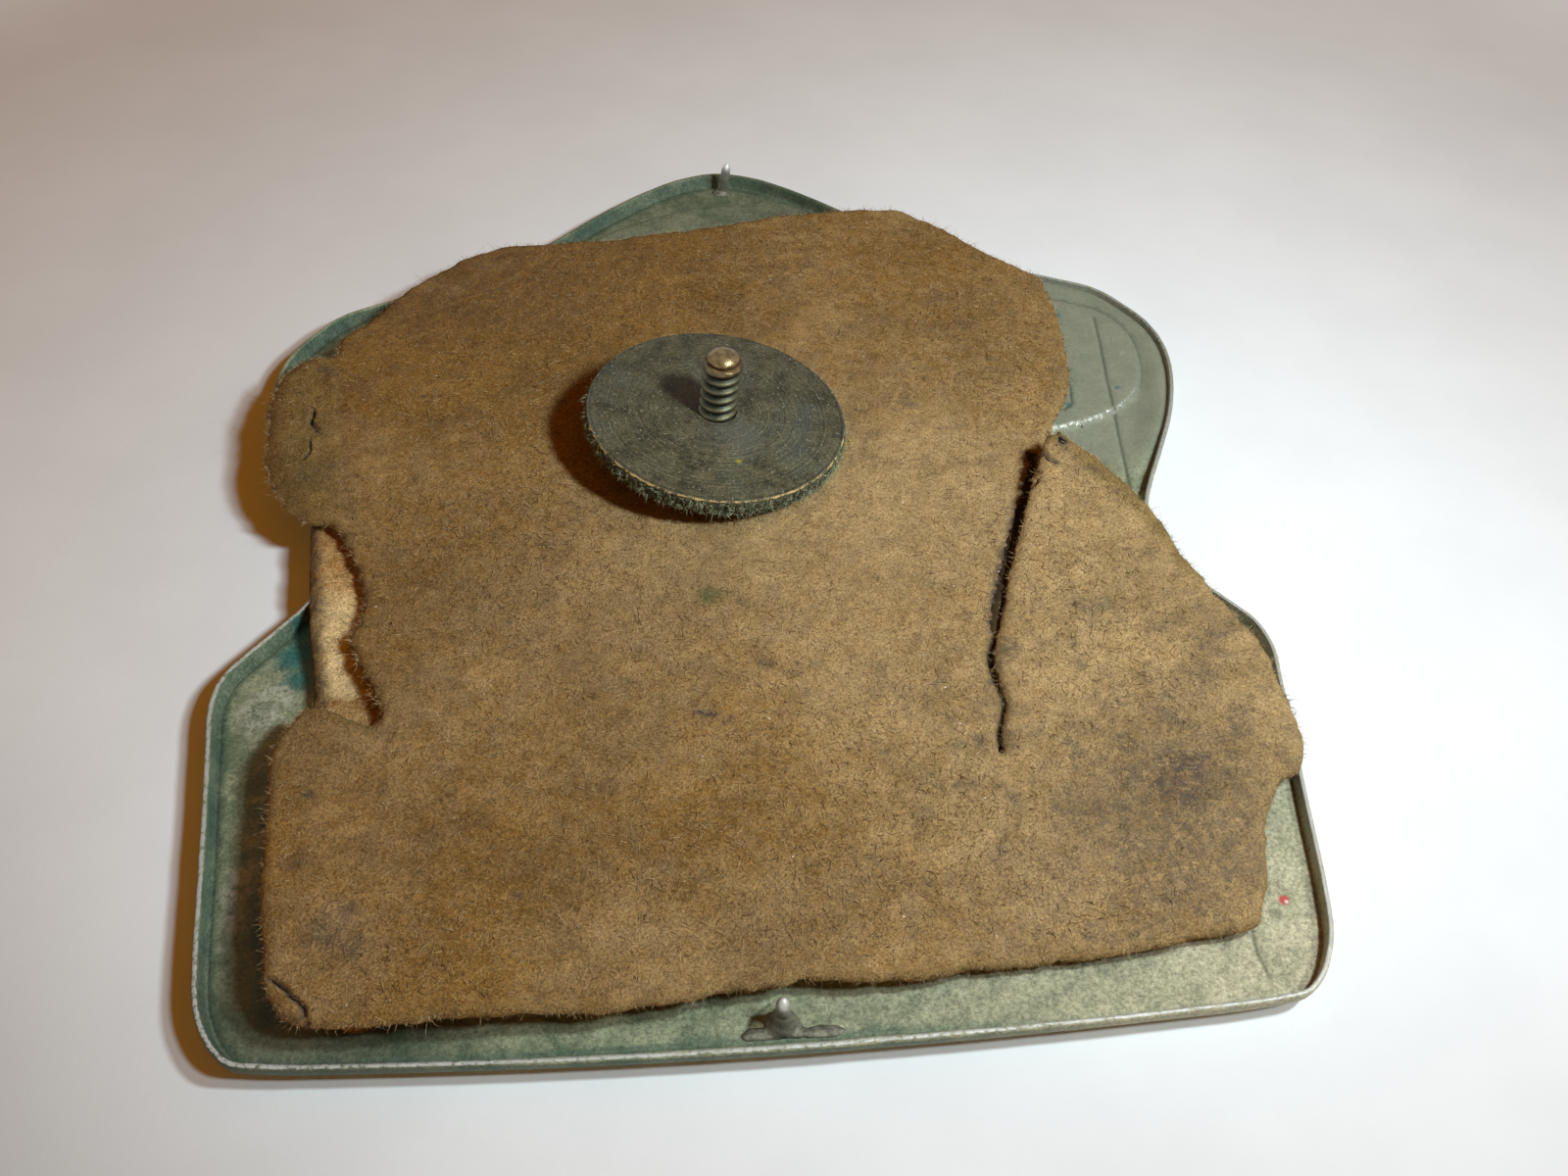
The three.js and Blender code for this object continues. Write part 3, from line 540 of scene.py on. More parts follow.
class Shader:
    """A node material built with short calls; sizes are in millimetres, in object coordinates."""

    def __init__(self, name):
        self.material = bpy.data.materials.new(name)
        self.material.use_nodes = True
        self.nodes = self.material.node_tree.nodes
        self.links = self.material.node_tree.links
        self.bsdf = self.nodes["Principled BSDF"]
        self.here = self.node("ShaderNodeTexCoord", {}, "Object")
        self.colour = self.normal = None

    def node(self, kind, inputs, output=0, **settings):
        """Adds a node with inputs given by name or number, and hands back one of its outputs."""
        made = self.nodes.new(kind)
        for name, value in settings.items():
            setattr(made, name, value)
        for key, value in inputs.items():
            self.set(made.inputs[key], value)
        return made.outputs[output]

    def set(self, socket, value):
        if isinstance(value, bpy.types.NodeSocket):
            self.links.new(value, socket)
        elif isinstance(value, tuple) and len(value) == 3 and socket.type == "RGBA":
            socket.default_value = (*value, 1)
        else:
            socket.default_value = value

    def stretched(self, along, turn):
        """The place, turned and stretched along its axes."""
        settings = {"Vector": self.here, "Rotation": (0, 0, math.radians(turn)), "Scale": along}
        return self.node("ShaderNodeMapping", settings, vector_type="TEXTURE")

    def noise(self, size, detail=3.0, roughness=0.55, at=None, distortion=0.0):
        settings = {"Vector": at or self.here, "Scale": 1 / (size * MM), "Detail": detail}
        settings.update(Roughness=roughness, Distortion=distortion)
        return self.node("ShaderNodeTexNoise", settings)

    def cells(self, size):
        settings = {"Vector": self.here, "Scale": 1 / (size * MM)}
        return self.node("ShaderNodeTexVoronoi", settings, "Distance")

    def painted(self, name):
        return self.node("ShaderNodeAttribute", {}, "Fac", attribute_name=name)

    def maths(self, how, a, b=0.0, clamp=False):
        return self.node("ShaderNodeMath", {0: a, 1: b}, operation=how, use_clamp=clamp)

    def times(self, a, b):
        return self.maths("MULTIPLY", a, b)

    def xy(self):
        """The two flat coordinates of the place, in metres."""
        return [self.node("ShaderNodeSeparateXYZ", {0: self.here}, axis) for axis in "XY"]

    def between(self, value, low, high, start=0.0, end=1.0):
        """A smooth step from start to end as the value goes from low to high."""
        settings = dict(enumerate((value, low, high, start, end)))
        return self.node("ShaderNodeMapRange", settings, interpolation_type="SMOOTHSTEP")

    def cloud(self, noise, low, high, start=0.0, end=1.0):
        return self.between(self.noise(*noise), low, high, start, end)

    def mix(self, share, a, b, how="MIX"):
        settings = {0: share, 6: a, 7: b}
        return self.node("ShaderNodeMix", settings, 2, data_type="RGBA", blend_type=how)

    def coat(self, share, over):
        """Lays a share of a colour over the one so far."""
        self.colour = self.mix(share, self.colour, over)

    def tinted(self, tone):
        return self.mix(1.0, self.colour, tone, "MULTIPLY")

    def tint(self, tone):
        self.colour = self.tinted(tone)

    def spot(self, x, y, radius, soft, size=0.6):
        """A soft spot round a place, ragged by noise."""
        flat = self.node("ShaderNodeVectorMath", {0: self.here, 1: (1, 1, 0)}, operation="MULTIPLY")
        ends = {0: flat, 1: (x * MM, y * MM, 0)}
        away = self.node("ShaderNodeVectorMath", ends, "Value", operation="DISTANCE")
        away = self.maths("ADD", away, self.times(self.noise(size, 3), radius * MM))
        return self.between(away, (radius * 1.5 + soft) * MM, (radius * 1.5 - soft) * MM)

    def bump(self, height, depth):
        """Adds a relief to the ones so far."""
        settings = {"Height": height, "Distance": depth * MM}
        if self.normal:
            settings["Normal"] = self.normal
        self.normal = self.node("ShaderNodeBump", settings)

    def done(self, **sockets):
        self.set(self.bsdf.inputs["Base Color"], self.colour)
        self.set(self.bsdf.inputs["Normal"], self.normal)
        for name, value in sockets.items():
            self.set(self.bsdf.inputs[name.replace("_", " ")], value)
        return self.material


def fibre_streaks(shader, width, turns):
    """Short fine streaks lying in several directions, like matted fibres."""
    total = None
    for turn in turns:
        streak = shader.noise(width, 1.5, 0.5, at=shader.stretched((1, 6, 1), turn), distortion=0.8)
        total = streak if total is None else shader.maths("MAXIMUM", total, streak)
    return total


def board(name, light, dark, pale):
    """Matted fibre board: mottled, with light and dark fibres, lint, stains, painted shade and a few bright
    specks.
    """
    shader = Shader(name)
    smudge, edge, warm, felt, bleached = map(shader.painted, ("smudge", "edge", "warm", "felt", "bleached"))
    light_fibres = fibre_streaks(shader, 0.085, (12, 70, 131))
    dark_fibres = fibre_streaks(shader, 0.095, (40, 103, 165))
    middle = shader.noise(1.3, 5, 0.7)
    fine = shader.noise(0.15, 4, 0.75)
    patchy = shader.cloud((1.7, 6, 0.8), 0.35, 0.65, -0.2, 0.3)
    shader.colour = shader.mix(shader.maths("ADD", warm, patchy, clamp=True), light, dark)
    shader.coat(shader.times(felt, 0.75), FELT)
    shader.coat(shader.times(bleached, 0.6), pale)
    large = shader.cloud((7, 4, 0.6), 0.35, 0.65, 0.82, 1.14)
    tone = shader.times(large, shader.between(middle, 0.3, 0.7, 0.84, 1.16))
    shader.tint(shader.times(tone, shader.between(fine, 0.3, 0.7, 0.57, 1.43)))
    shader.coat(shader.between(light_fibres, 0.6, 0.72, 0, 0.6), pale)
    shader.coat(shader.between(dark_fibres, 0.6, 0.73, 0, 0.6), DARK_FIBRE)
    shader.coat(shader.cloud((0.14, 2, 0.6), 0.33, 0.24, 0, 0.5), DARK_FIBRE)
    shader.coat(shader.cloud((1.6, 6, 0.85), 0.55, 0.7, 0, 0.5), LINT_GREY)
    # Stains, and painted shade: the flap's shadow, the cut walls by the slit, the inner ply's rolled edge
    # and the sheet's upper left; the deepest of it near black
    ragged = shader.times(smudge, shader.cloud((0.7, 6, 0.8), 0.35, 0.6, 0.1, 1))
    solid = shader.between(smudge, 0.85, 0.95, 0, 0.92)
    shader.coat(shader.maths("MAXIMUM", ragged, solid), STAIN_AND_SHADE)
    # The deepest painted shade, near black
    shader.coat(shader.between(smudge, 0.93, 1, 0, 0.92), DEEP_SHADE)
    shader.coat(shader.times(edge, 0.2), FELT)
    shader.coat(shader.times(shader.spot(-2.6, -14.0, 0.75, 0.6, 1.0), 0.6), GREEN_MARK)
    shader.coat(shader.between(shader.cells(2.3), 0.035, 0.02), BRIGHT_SPECK)
    shader.bump(fine, 0.1)
    shader.bump(light_fibres, 0.08)
    shader.bump(middle, 0.15)
    return shader.done(Roughness=0.95, Specular_IOR_Level=0.04)


def patina():
    """Plated brass gone grey-green, with crusts and stains, worn along the rim; some of its dark is painted
    shade and some of its bare metal painted light.
    """
    shader = Shader("patina")
    names = ("wear", "pale", "teal", "warm", "dark", "flat")
    wear, pale, teal, warm, dark, flat = map(shader.painted, names)
    cloud = shader.noise(2.6, 5, 0.65)
    grain = shader.noise(0.22, 6, 0.8)
    shader.colour = shader.mix(shader.between(cloud, 0.35, 0.65), PATINA_DARK, PATINA_LIGHT)
    warm_share = shader.cloud((1.4, 5, 0.7), 0.35, 0.65)
    shader.coat(warm, shader.mix(warm_share, WARM_DARK, WARM_LIGHT))
    shader.coat(flat, LOBE_GREY)
    shader.coat(teal, VERDIGRIS)
    coarse = shader.between(flat, 0, 0.8, 1, 0.3)
    grained = shader.times(coarse, shader.between(grain, 0.3, 0.7, -0.5, 0.55))
    shader.tint(shader.maths("ADD", 1, grained))
    pits = shader.cloud((0.8, 5, 0.8), 0.38, 0.25, 0, 0.75)
    shader.coat(shader.times(coarse, pits), PIT)
    shader.coat(shader.times(coarse, shader.between(shader.cells(0.5), 0.16, 0.06, 0, 0.6)), FLECK)
    shader.coat(shader.times(pale, shader.cloud((0.45, 6, 0.8), 0.42, 0.58)), CRUST)
    shader.coat(dark, GRIME_AND_SHADE)
    shader.coat(shader.spot(29.8, -37.8, 0.3, 0.12), RED_CHIP)
    shader.coat(shader.spot(29.9, -37.9, 0.1, 0.08), CHIP_MIDDLE)
    # Bare metal where worn, and as painted light on the right lobe's cell and the right inner wall
    ragged = shader.maths("ADD", wear, shader.cloud((0.3, 6, 0.8), 0.3, 0.7, -0.75, 0.2))
    bare_and_highlight = shader.between(ragged, 0.35, 0.7)
    shader.coat(bare_and_highlight, BARE_METAL_AND_HIGHLIGHT)
    dull = shader.between(grain, 0.2, 0.8, 0.45, 0.68)
    roughness = shader.maths("SUBTRACT", dull, shader.times(bare_and_highlight, 0.16))
    metal = shader.maths("ADD", 0.02, shader.times(bare_and_highlight, 0.83))
    shader.bump(grain, 0.05)
    shader.bump(cloud, 0.08)
    return shader.done(Roughness=roughness, Metallic=metal, Specular_IOR_Level=0.16)


def dark_brass():
    """Turned brass gone dark: the lathe's rings with a painted sheen strongest to the front, a painted sheen
    near the middle, scratches, specks and a worn edge partly painted as glints.
    """
    shader = Shader("dark_brass")
    x, y = shader.xy()
    radius = shader.maths("SQRT", shader.maths("ADD", shader.times(x, x), shader.times(y, y)))
    rings = shader.noise(0.17, 2, 0.6, at=shader.node("ShaderNodeCombineXYZ", {0: radius}))
    cloud = shader.noise(1.7, 5, 0.75)
    grain = shader.noise(0.16, 6, 0.85)
    uneven = shader.between(cloud, 0.3, 0.7, -0.002, 0.002)
    # Painted sheen: the rings light up most towards the front
    front = shader.between(shader.maths("ADD", y, uneven), 0.003, -0.005, 0.55, 1)
    shader.colour = shader.mix(shader.between(cloud, 0.35, 0.65), NUT_DARK, NUT_LIGHT)
    shader.coat(shader.cloud((4, 3, 0.6), 0.5, 0.7, 0, 0.5), NUT_GREEN)
    shader.coat(front, shader.tinted(shader.between(rings, 0.3, 0.7, 0.55, 3.0)))
    shader.tint(shader.between(grain, 0.3, 0.7, 0.2, 2.4))
    scratches = fibre_streaks(shader, 0.07, (20, 80, 140))
    shader.coat(shader.between(scratches, 0.6, 0.7, 0, 0.5), NUT_SCRATCH)
    shader.coat(shader.between(shader.cells(0.55), 0.15, 0.08, 0, 0.8), NUT_SPECK)
    # Painted sheen: a pale patch near the middle
    shader.coat(shader.times(shader.spot(1.0, -2.6, 2.0, 1.6, 0.7), 0.3), NUT_SHEEN)
    shader.coat(shader.spot(1.3, -5.4, 0.2, 0.12), NUT_YELLOW)
    # Worn gold on the knurl's front corner, partly a painted glint
    chipped = shader.cloud((0.5, 4, 0.7), 0.3, 0.7, -0.75, 0.05)
    ragged = shader.maths("ADD", shader.painted("wear"), chipped)
    shader.coat(shader.between(ragged, 0.3, 0.6), NUT_GOLD)
    roughness = shader.between(grain, 0.3, 0.7, 0.45, 0.65)
    shader.bump(rings, 0.04)
    shader.bump(grain, 0.04)
    return shader.done(Roughness=roughness, Metallic=0.04, Specular_IOR_Level=0.16)


def screw_brass():
    """Old brass: dark between the ridges, dull on them, and polished copper-brown at the tip."""
    shader = Shader("screw_brass")
    groove, wear = shader.painted("groove"), shader.painted("wear")
    clouds = shader.cloud((0.6, 4, 0.7), 0.3, 0.7)
    shader.colour = shader.mix(clouds, THREAD_DARK, THREAD_LIGHT)
    shader.coat(groove, GROOVE)
    shader.coat(shader.cloud((0.9, 3, 0.6), 0.6, 0.7, 0, 0.55), THREAD_GREEN)
    tip = shader.mix(shader.cloud((0.5, 4, 0.7), 0.35, 0.65), TIP_DARK, TIP_LIGHT)
    shader.coat(wear, tip)
    roughness = shader.between(wear, 0, 1, 0.48, 0.24)
    shader.bump(shader.noise(0.12, 3, 0.6), 0.02)
    return shader.done(Roughness=roughness, Metallic=0.85)


def dull_metal(name, dark, light, roughness):
    """Grey metal with a clouded skin, bright where it is worn."""
    shader = Shader(name)
    shader.colour = shader.mix(shader.cloud((0.5, 5, 0.75), 0.3, 0.7), dark, light)
    shader.coat(shader.painted("wear"), WORN_PIN)
    shader.bump(shader.noise(0.2, 4, 0.7), 0.05)
    return shader.done(Roughness=roughness, Metallic=0.6)


def enamel_glass():
    """Deep plain enamel with faint clouding and pinholes under a hard gloss."""
    shader = Shader("enamel")
    shader.colour = shader.mix(shader.cloud((7, 3, 0.5), 0.3, 0.7), ENAMEL_DARK, ENAMEL_LIGHT)
    shader.coat(shader.between(shader.cells(1.7), 0.06, 0.03, 0, 0.6), PINHOLE)
    shader.bump(shader.noise(4, 3, 0.4), 0.05)
    return shader.done(Roughness=0.14, Coat_Weight=0.5, Coat_Roughness=0.05)


def lint(name, light, dark):
    """Loose fibres, each of them nearly one colour."""
    shader = Shader(name)
    shader.colour = shader.mix(shader.cloud((0.6, 3, 0.6), 0.42, 0.58), dark, light)
    shader.bump(shader.noise(0.06, 2, 0.5), 0.01)
    return shader.done(Roughness=0.9, Specular_IOR_Level=0.08)


def table_top():
    """The table, with painted shade: darker to the near right, where the lamp is nearest, and to the near
    left; far from the badge it is the plain backdrop.
    """
    shader = Shader("table_top")
    x, y = shader.xy()
    # Painted shade on the table, to the near right and the near left
    near_right = shader.maths("SUBTRACT", x, shader.times(y, 0.6))
    shader.colour = shader.mix(shader.between(near_right, 0.0, 0.1), TABLE_PALE, TABLE_NEAR_SHADE)
    tone = shader.cloud((14, 5, 0.6), 0.3, 0.7, 0.975, 1.025)
    near_left = shader.maths("ADD", x, y)
    shader.tint(shader.times(tone, shader.between(near_left, -0.1, -0.06, 0.68, 1)))
    shader.bump(shader.noise(0.5, 4, 0.6), 0.01)
    material = shader.done(Roughness=0.8, Specular_IOR_Level=0.0)
    away = shader.node("ShaderNodeVectorMath", {0: shader.here}, "Value", operation="LENGTH")
    seen = shader.node("ShaderNodeLightPath", {}, "Is Camera Ray")
    for ray in ("Is Glossy Ray", "Is Transmission Ray"):
        seen = shader.maths("MAXIMUM", seen, shader.node("ShaderNodeLightPath", {}, ray))
    share = shader.times(seen, shader.between(away, *TABLE_FADE))
    plain = shader.node("ShaderNodeEmission", {"Color": BACKDROP})
    blend = shader.node("ShaderNodeMixShader", {0: share, 1: shader.bsdf.outputs[0], 2: plain})
    shader.set(shader.nodes["Material Output"].inputs["Surface"], blend)
    return material


# Pieces

cell_rings = {
    "enamel_dome": mirrored(DOME_CELL_SHARES, 10),
    "enamel_base": mirrored(BASE_CELL_SHARES, 8),
    "enamel_lobe_right": smooth_ring(place(LOBE_CELL_SHARES), 10),
    "enamel_lobe_left": smooth_ring(place(LOBE_CELL_SHARES) * (-1, 1), 10),
}
# Rows of a section, each the distance inwards from its ring and the height
FRONT_BORDER_ROWS = [
    (-0.6, FIELD_Z), (-0.56, 0.16), (-0.45, 0.03), (-0.34, 0), (-0.22, 0), (-0.1, 0.04), (0, 0.18),
    (0, CELL_Z),
]
FRONT_BEAD_ROWS = [
    (1.0, 0.3), (1.04, 0.1), (1.14, 0.02), (1.24, 0), (1.52, 0), (1.66, 0.03), (1.76, 0.12),
    (1.8, FIELD_Z),
]
BOSS_ROWS = [
    (11, FIELD_Z), (11, 0.26), (10.94, 0.2), (9.98, 0.2), (9.9, 0.14), (9.86, 0.03), (9.76, 0),
    (5, 0),
]
WALL_ROWS = [
    (0.9, FIELD_Z), (0.72, 0.6), (0.45, 0.82), (0.24, 1.06), (0.1, 1.32), (0.03, 1.7), (0, 1.98),
    (0.02, 2.1), (0.08, 2.17), (0.16, RIM_Z),
]
RIM_ROWS = [
    (0.28, RIM_Z), (0.38, 2.17), (0.45, 2.09), (0.5, 1.95), (0.58, 1.65), (0.66, 1.36), (0.74, 1.19),
    (0.84, 1.12), (0.96, 1.12), (1.08, 1.16), (1.2, FLOOR_Z),
]

# Creases and scratches in the pan's floor
FLOOR_LINES = [
    [(31.3, 17.7), (31.0, 14.2), (30.5, 9.9), (30.2, 6.5)],
    [(30.3, 6.1), (29.9, 2.5), (29.4, -2.4)],
    [(27.3, 9.2), (27.0, 6.8), (26.2, 6.2)],
    [(27.3, -39.6), (27.2, -41.0), (27.4, -42.3)],
    [(-2.0, -43.6), (-1.5, -42.8), (-0.7, -42.2)],
]
LINE_WIDTH = 0.16
LINE_DEPTH = 0.09
LOBE_CURVE = 0.5
OUTLINE_STEPS = 14
# The raised edge of a struck cell, as distances outwards from its ring
CELL_SLOPE = (0.92, 0.64)
# Crusts, green spots and dark spots on the pan, each (x, y, share of the full radius)
SPOT_RADIUS = 1.5
DARK_SPOT_RADIUS = 1.1
CRUSTS = [
    (-32.6, -19.6, 0.8), (-31.4, -18.8, 0.9), (-30.4, -18.6, 0.8), (-32.3, -20.8, 0.8),
    (-30.9, -20.4, 0.7), (-30.4, -32.2, 0.8), (-31, -33.6, 0.9), (-30.5, -35, 0.8),
    (-30.8, -26.5, 0.5), (-31.2, -36.4, 0.5), (33, 12.5, 0.2), (24.8, 4.4, 0.4),
]
GREENS = [
    (-30.4, -15.1, 1.3), (-30.1, -13.2, 1.0), (-29.9, -17.1, 1.0), (36, 16.4, 0.5),
    (28.5, 18.8, 0.35), (27.4, 13.4, 0.4), (27.2, 10.2, 0.4), (27, 6.6, 0.3), (31.4, 8.7, 0.22),
    (26.9, 6.9, 0.3),
]
DARK_SPOTS = [
    (29.7, 11.1, 0.14), (28.7, -38.6, 0.35), (30.2, -37.3, 0.22), (31.4, -37.7, 0.3), (29, -39, 0.22),
    (27.3, 4.1, 0.3), (-30.9, -34.3, 0.3), (-31.3, -30.7, 0.3),
]
# The painted shadow that the pad's left side casts on the pan's floor
PAD_SHADOW_LINE = [(-29.7, -23.5), (-29.4, -26), (-28.9, -31), (-28.3, -37), (-27.6, -41)]


def away_from_lines(points, lines):
    return np.min([from_line(points, line) for line in lines], axis=0)


def beside(line, offsets, step):
    """Points along a line and beside it, for a sharp groove."""
    line = evenly(np.array(line, float), step, False)
    side = to_left(unit(np.gradient(line, axis=0)))
    return np.vstack([line + side * offset for offset in offsets])


def curved_up(points):
    """How far the floor curves up at the foot of the right lobe's rim."""
    return LOBE_CURVE * step_up(points[:, 0], 20, 26) * step_up(points[:, 1], -4, 4)


def floor_height(points):
    """The pan's floor, with the back of each struck cell standing up from it, and old dents."""
    to_rim = distance(points, mirrored(OUTLINE_SHARES, OUTLINE_STEPS)[::3])
    z = FLOOR_Z + curved_up(points) * step_up(to_rim, 3.2, 0.9) ** 1.5
    shown = 1 - step_up(points[:, 0], -25, -28) * step_up(points[:, 1], 0, -8)
    for ring in cell_rings.values():
        z = np.maximum(z, FLOOR_Z + PLATEAU_RISE * step_up(from_ring(points, ring), *CELL_SLOPE) * shown)
    z -= LINE_DEPTH * step_up(away_from_lines(points, FLOOR_LINES), LINE_WIDTH, 0.02)
    return z + wobble(points, 4.5, 5, 2) * 0.03 + wobble(points, 1.1, 9, 2) * 0.014


def shell_paint(points, wear=0.0):
    """Where the metal is worn, crusted, stained, dark, or smooth and light; some of the dark is painted
    shade, some of the worn a painted highlight, and the lower right is painted lighter.
    """
    x, y = points.T
    ragged = ragged_points(points, 1.3, 0.5, 31, 47)

    def blob(places, radius):
        total = np.zeros(len(points))
        for spot_x, spot_y, share in places:
            away = np.hypot(ragged[:, 0] - spot_x, ragged[:, 1] - spot_y)
            total = np.maximum(total, step_up(away, radius * share, radius * share * 0.35))
        return total

    # Painted light: the floor turns lighter and warmer towards the lower right
    right = step_up(x, -10, 44) * step_up(y, -20, -41)
    right = np.maximum(right, 0.7 * step_up(x, 26, 34) * step_up(y, -8, -24))
    lobe = step_up(np.hypot(x - 29, (y - 12) * 0.75), 11, 8)
    creases = step_up(away_from_lines(points, FLOOR_LINES), LINE_WIDTH, 0.04)
    # Painted shadow: the floor darkened along the pad's left side
    pad_shadow = 0.9 * step_up(from_line(points, PAD_SHADOW_LINE) + wobble(points, 1.4, 37, 2) * 0.3, 1.15, 0.6)
    left = step_up(x, -26, -30) * step_up(y, -12, -18) * step_up(y, -44, -38)
    left = left * 0.3 * wobble(points, 1.6, 53, 2)
    dome = step_up(y, 24, 30) * (0.5 + 0.18 * step_up(x, 0, 6))
    # Painted shade on the floor below the pad's lower left corner
    corner = 0.7 * step_up(np.hypot(x + 27, y + 44), 15, 6)
    away = from_ring(points, cell_rings["enamel_lobe_right"])
    # A painted highlight: bright bare metal along the lower edge of the right lobe's raised cell
    edge_highlight = 0.82 * step_up(abs(away - 0.72), 0.26, 0.1) * step_up(y, 10, 8) * (x > 23)
    # Painted shade: a dark line at the foot of that raised edge
    cell_foot_shade = 0.5 * step_up(abs(away - 0.95), 0.2, 0.04) * step_up(y, 8, 10)
    # Painted shade on the floor seen through the slit in the pad
    slit_shade = 0.95 * step_up(from_line(points, place(SLIT_SHARES)), 1.2, 0.6)
    green = 0.3 * step_up(x, 34.5, 30) * step_up(x, 24, 27) * step_up(y, -36, -27) * (y < -12)
    spots = blob(DARK_SPOTS, DARK_SPOT_RADIUS)
    # Of the dark paint, the strip beside the pad, the pad's lower left corner, the floor under the slit and
    # the line at the foot of the lobe's cell are painted shade; the dome end, the left strip in patches and
    # a band low on the right are darker; the spots and creases are grime.
    dark = [dome, corner, left, pad_shadow, cell_foot_shade, slit_shade, green, spots, creases * 0.6]
    return {
        "wear": np.maximum(wear, edge_highlight),
        "pale": blob(CRUSTS, SPOT_RADIUS),
        "teal": blob(GREENS, SPOT_RADIUS) * 0.85,
        "warm": right * 0.85,
        "flat": lobe * 0.8,
        "dark": np.maximum.reduce(dark) * 0.8,
    }


def make_shell(material):
    outline = mirrored(OUTLINE_SHARES, OUTLINE_STEPS)
    build = Build()
    bend = wobble(outline, 7, 3) * 0.05 + wobble(outline, 1.2, 4) * 0.018 + wobble(outline, 0.5, 14) * 0.008
    chip = wobble(outline, 2.2, 8, 2)
    far = step_up(outline[:, 1], 4, 14)
    right = step_up(outline[:, 0], 0, 24)
    left = step_up(outline[:, 0], 0, -24)

    def narrowed(away):
        return away - (0.76 * right + 0.45 * left) * max(away - RIM_ROWS[0][0], 0)

    def loop(away, z, sway, wear, dark=0.0, inner=False):
        ring = inset(outline, narrowed(away) + bend * sway)
        paint = shell_paint(ring, wear)
        slope = 0.8 if z < FLOOR_Z else 1.0 if z < 2.1 else 0.0
        paint["teal"] = np.maximum(paint["teal"], 0.34 * slope * (1 - right))
        paint["dark"] = np.maximum(np.maximum(paint["dark"], dark), 0.3 * slope * (1 - right))
        curve = (RIM_Z - z) / (RIM_Z - FLOOR_Z) * curved_up(outline) * inner
        return build.loop(ring, z + curve + chip * 0.015 * sway, **paint)

    rows = []
    for away, z in WALL_ROWS:
        wear = step_up(z, 2.1, 2.19) * (1 - 0.75 * far)
        rows.append(loop(away, z, (z - FIELD_Z) / (RIM_Z - FIELD_Z), wear))
    for away, z in RIM_ROWS:
        # Painted light: the right side's inner wall, which faces away from the lamps, is laid in as bright
        # bare metal
        wear = np.maximum(step_up(z, 2.14, RIM_Z) * (1 - 0.75 * far), 0.8 * right * step_up(z, FLOOR_Z, 1.7))
        dark = (0.55 - 0.45 * right) * step_up(abs(away - 0.84), 0.2, 0.08)
        rows.append(loop(away, z, max((z - FLOOR_Z) / (RIM_Z - FLOOR_Z), 0), wear, dark, True))
    build.bands(rows)

    ring = inset(outline, narrowed(RIM_ROWS[-1][0]))
    covered = place([*PAD_TOP_SHARES, *FLAP_EDGE_SHARES, *PAD_FOOT_SHARES, *TEAR_SHARES])
    covered = turning_left(evenly(covered, 1.0, True))

    def hidden(points, margin):
        return inside(points, covered) & (distance(points, covered[::3]) > margin)

    near = grid(ring, 0.4, 1)
    near = near[~hidden(near, 2.5)]
    near = near[away_from_lines(near, FLOOR_LINES) > 0.3]
    far_in = grid(ring, 2.4, 2)
    far_in = far_in[hidden(far_in, 2.9)]
    edges = [inset(cell, -away) for cell in cell_rings.values() for away in (0.64, 0.78, 0.92)]
    edges = np.vstack([evenly(edge, 0.32, True) for edge in edges])
    edges = edges[~hidden(edges, 2.5)]
    edges = edges[away_from_lines(edges, FLOOR_LINES) > 0.25]
    creases = np.vstack([beside(line, (-0.17, -0.07, 0, 0.07, 0.17), 0.17) for line in FLOOR_LINES])
    inner = np.vstack((near, far_in, edges, creases))
    inner = inner[inside(inner, inset(ring, 0.2))]
    build.fill([rows[-1]], inner, floor_height, True, **shell_paint(inner))

    front = [build.loop(inset(outline, away), z, wear=0.75) for away, z in FRONT_BEAD_ROWS]
    build.bands([*front[::-1], rows[0]])
    holes = []
    for cell in cell_rings.values():
        border = [build.loop(inset(cell, away), z, wear=0.85) for away, z in FRONT_BORDER_ROWS]
        build.bands(border[::-1])
        build.fill([border[-1]], [], CELL_Z, False, wear=0.4)
        holes.append(border[0])
    circle = oval(1, 1, 160)
    boss = [build.loop(circle * radius, z, wear=0.85) for radius, z in BOSS_ROWS]
    build.bands(boss[::-1])
    build.fan(boss[-1], build.add([(0, 0, 0)], wear=0.85)[0], up=False)
    holes.append(boss[0])
    field = grid(inset(outline, 2.8), 2.2, 6)
    for cell in cell_rings.values():
        field = field[~inside(field, inset(cell, -0.9))]
    field = field[np.hypot(*field.T) > BOSS_ROWS[0][0] + 0.6]
    build.fill([front[-1], *holes], field, FIELD_Z, False, wear=0.7)
    return build.piece("shell_metal", "badge", "shell_metal", material, ["badge_shell"])


def make_enamel(node, ring, material):
    """A field of enamel, filled a little proud in its middle."""
    build = Build()
    edge = inset(ring, 0.02)
    rows = [build.loop(inset(edge, d), z) for d, z in ((0.25, 0.1), (0.05, 0.17), (0, 0.3), (0, CELL_Z))]
    build.bands(rows)
    inner = grid(inset(edge, 0.9), 1.1, 4)
    build.fill([rows[0]], inner, lambda p: 0.1 - 0.05 * step_up(distance(p, edge[::3]), 0, 4), False)
    build.fill([rows[-1]], [], CELL_Z, True)
    return build.piece("glaze_" + node, "badge", "enamel", material, [node])


def height_field(places):
    spots = place([(x, y) for x, y, _ in places])
    rise = np.array([z for _, _, z in places])

    def at(points):
        total = np.zeros(len(points))
        weight = np.zeros(len(points))
        for spot, z in zip(spots, rise):
            near = 1 / (((points - spot) ** 2).sum(1) + 9) ** 2
            total += near * z
            weight += near
        return FLOOR_Z + total / weight

    return at


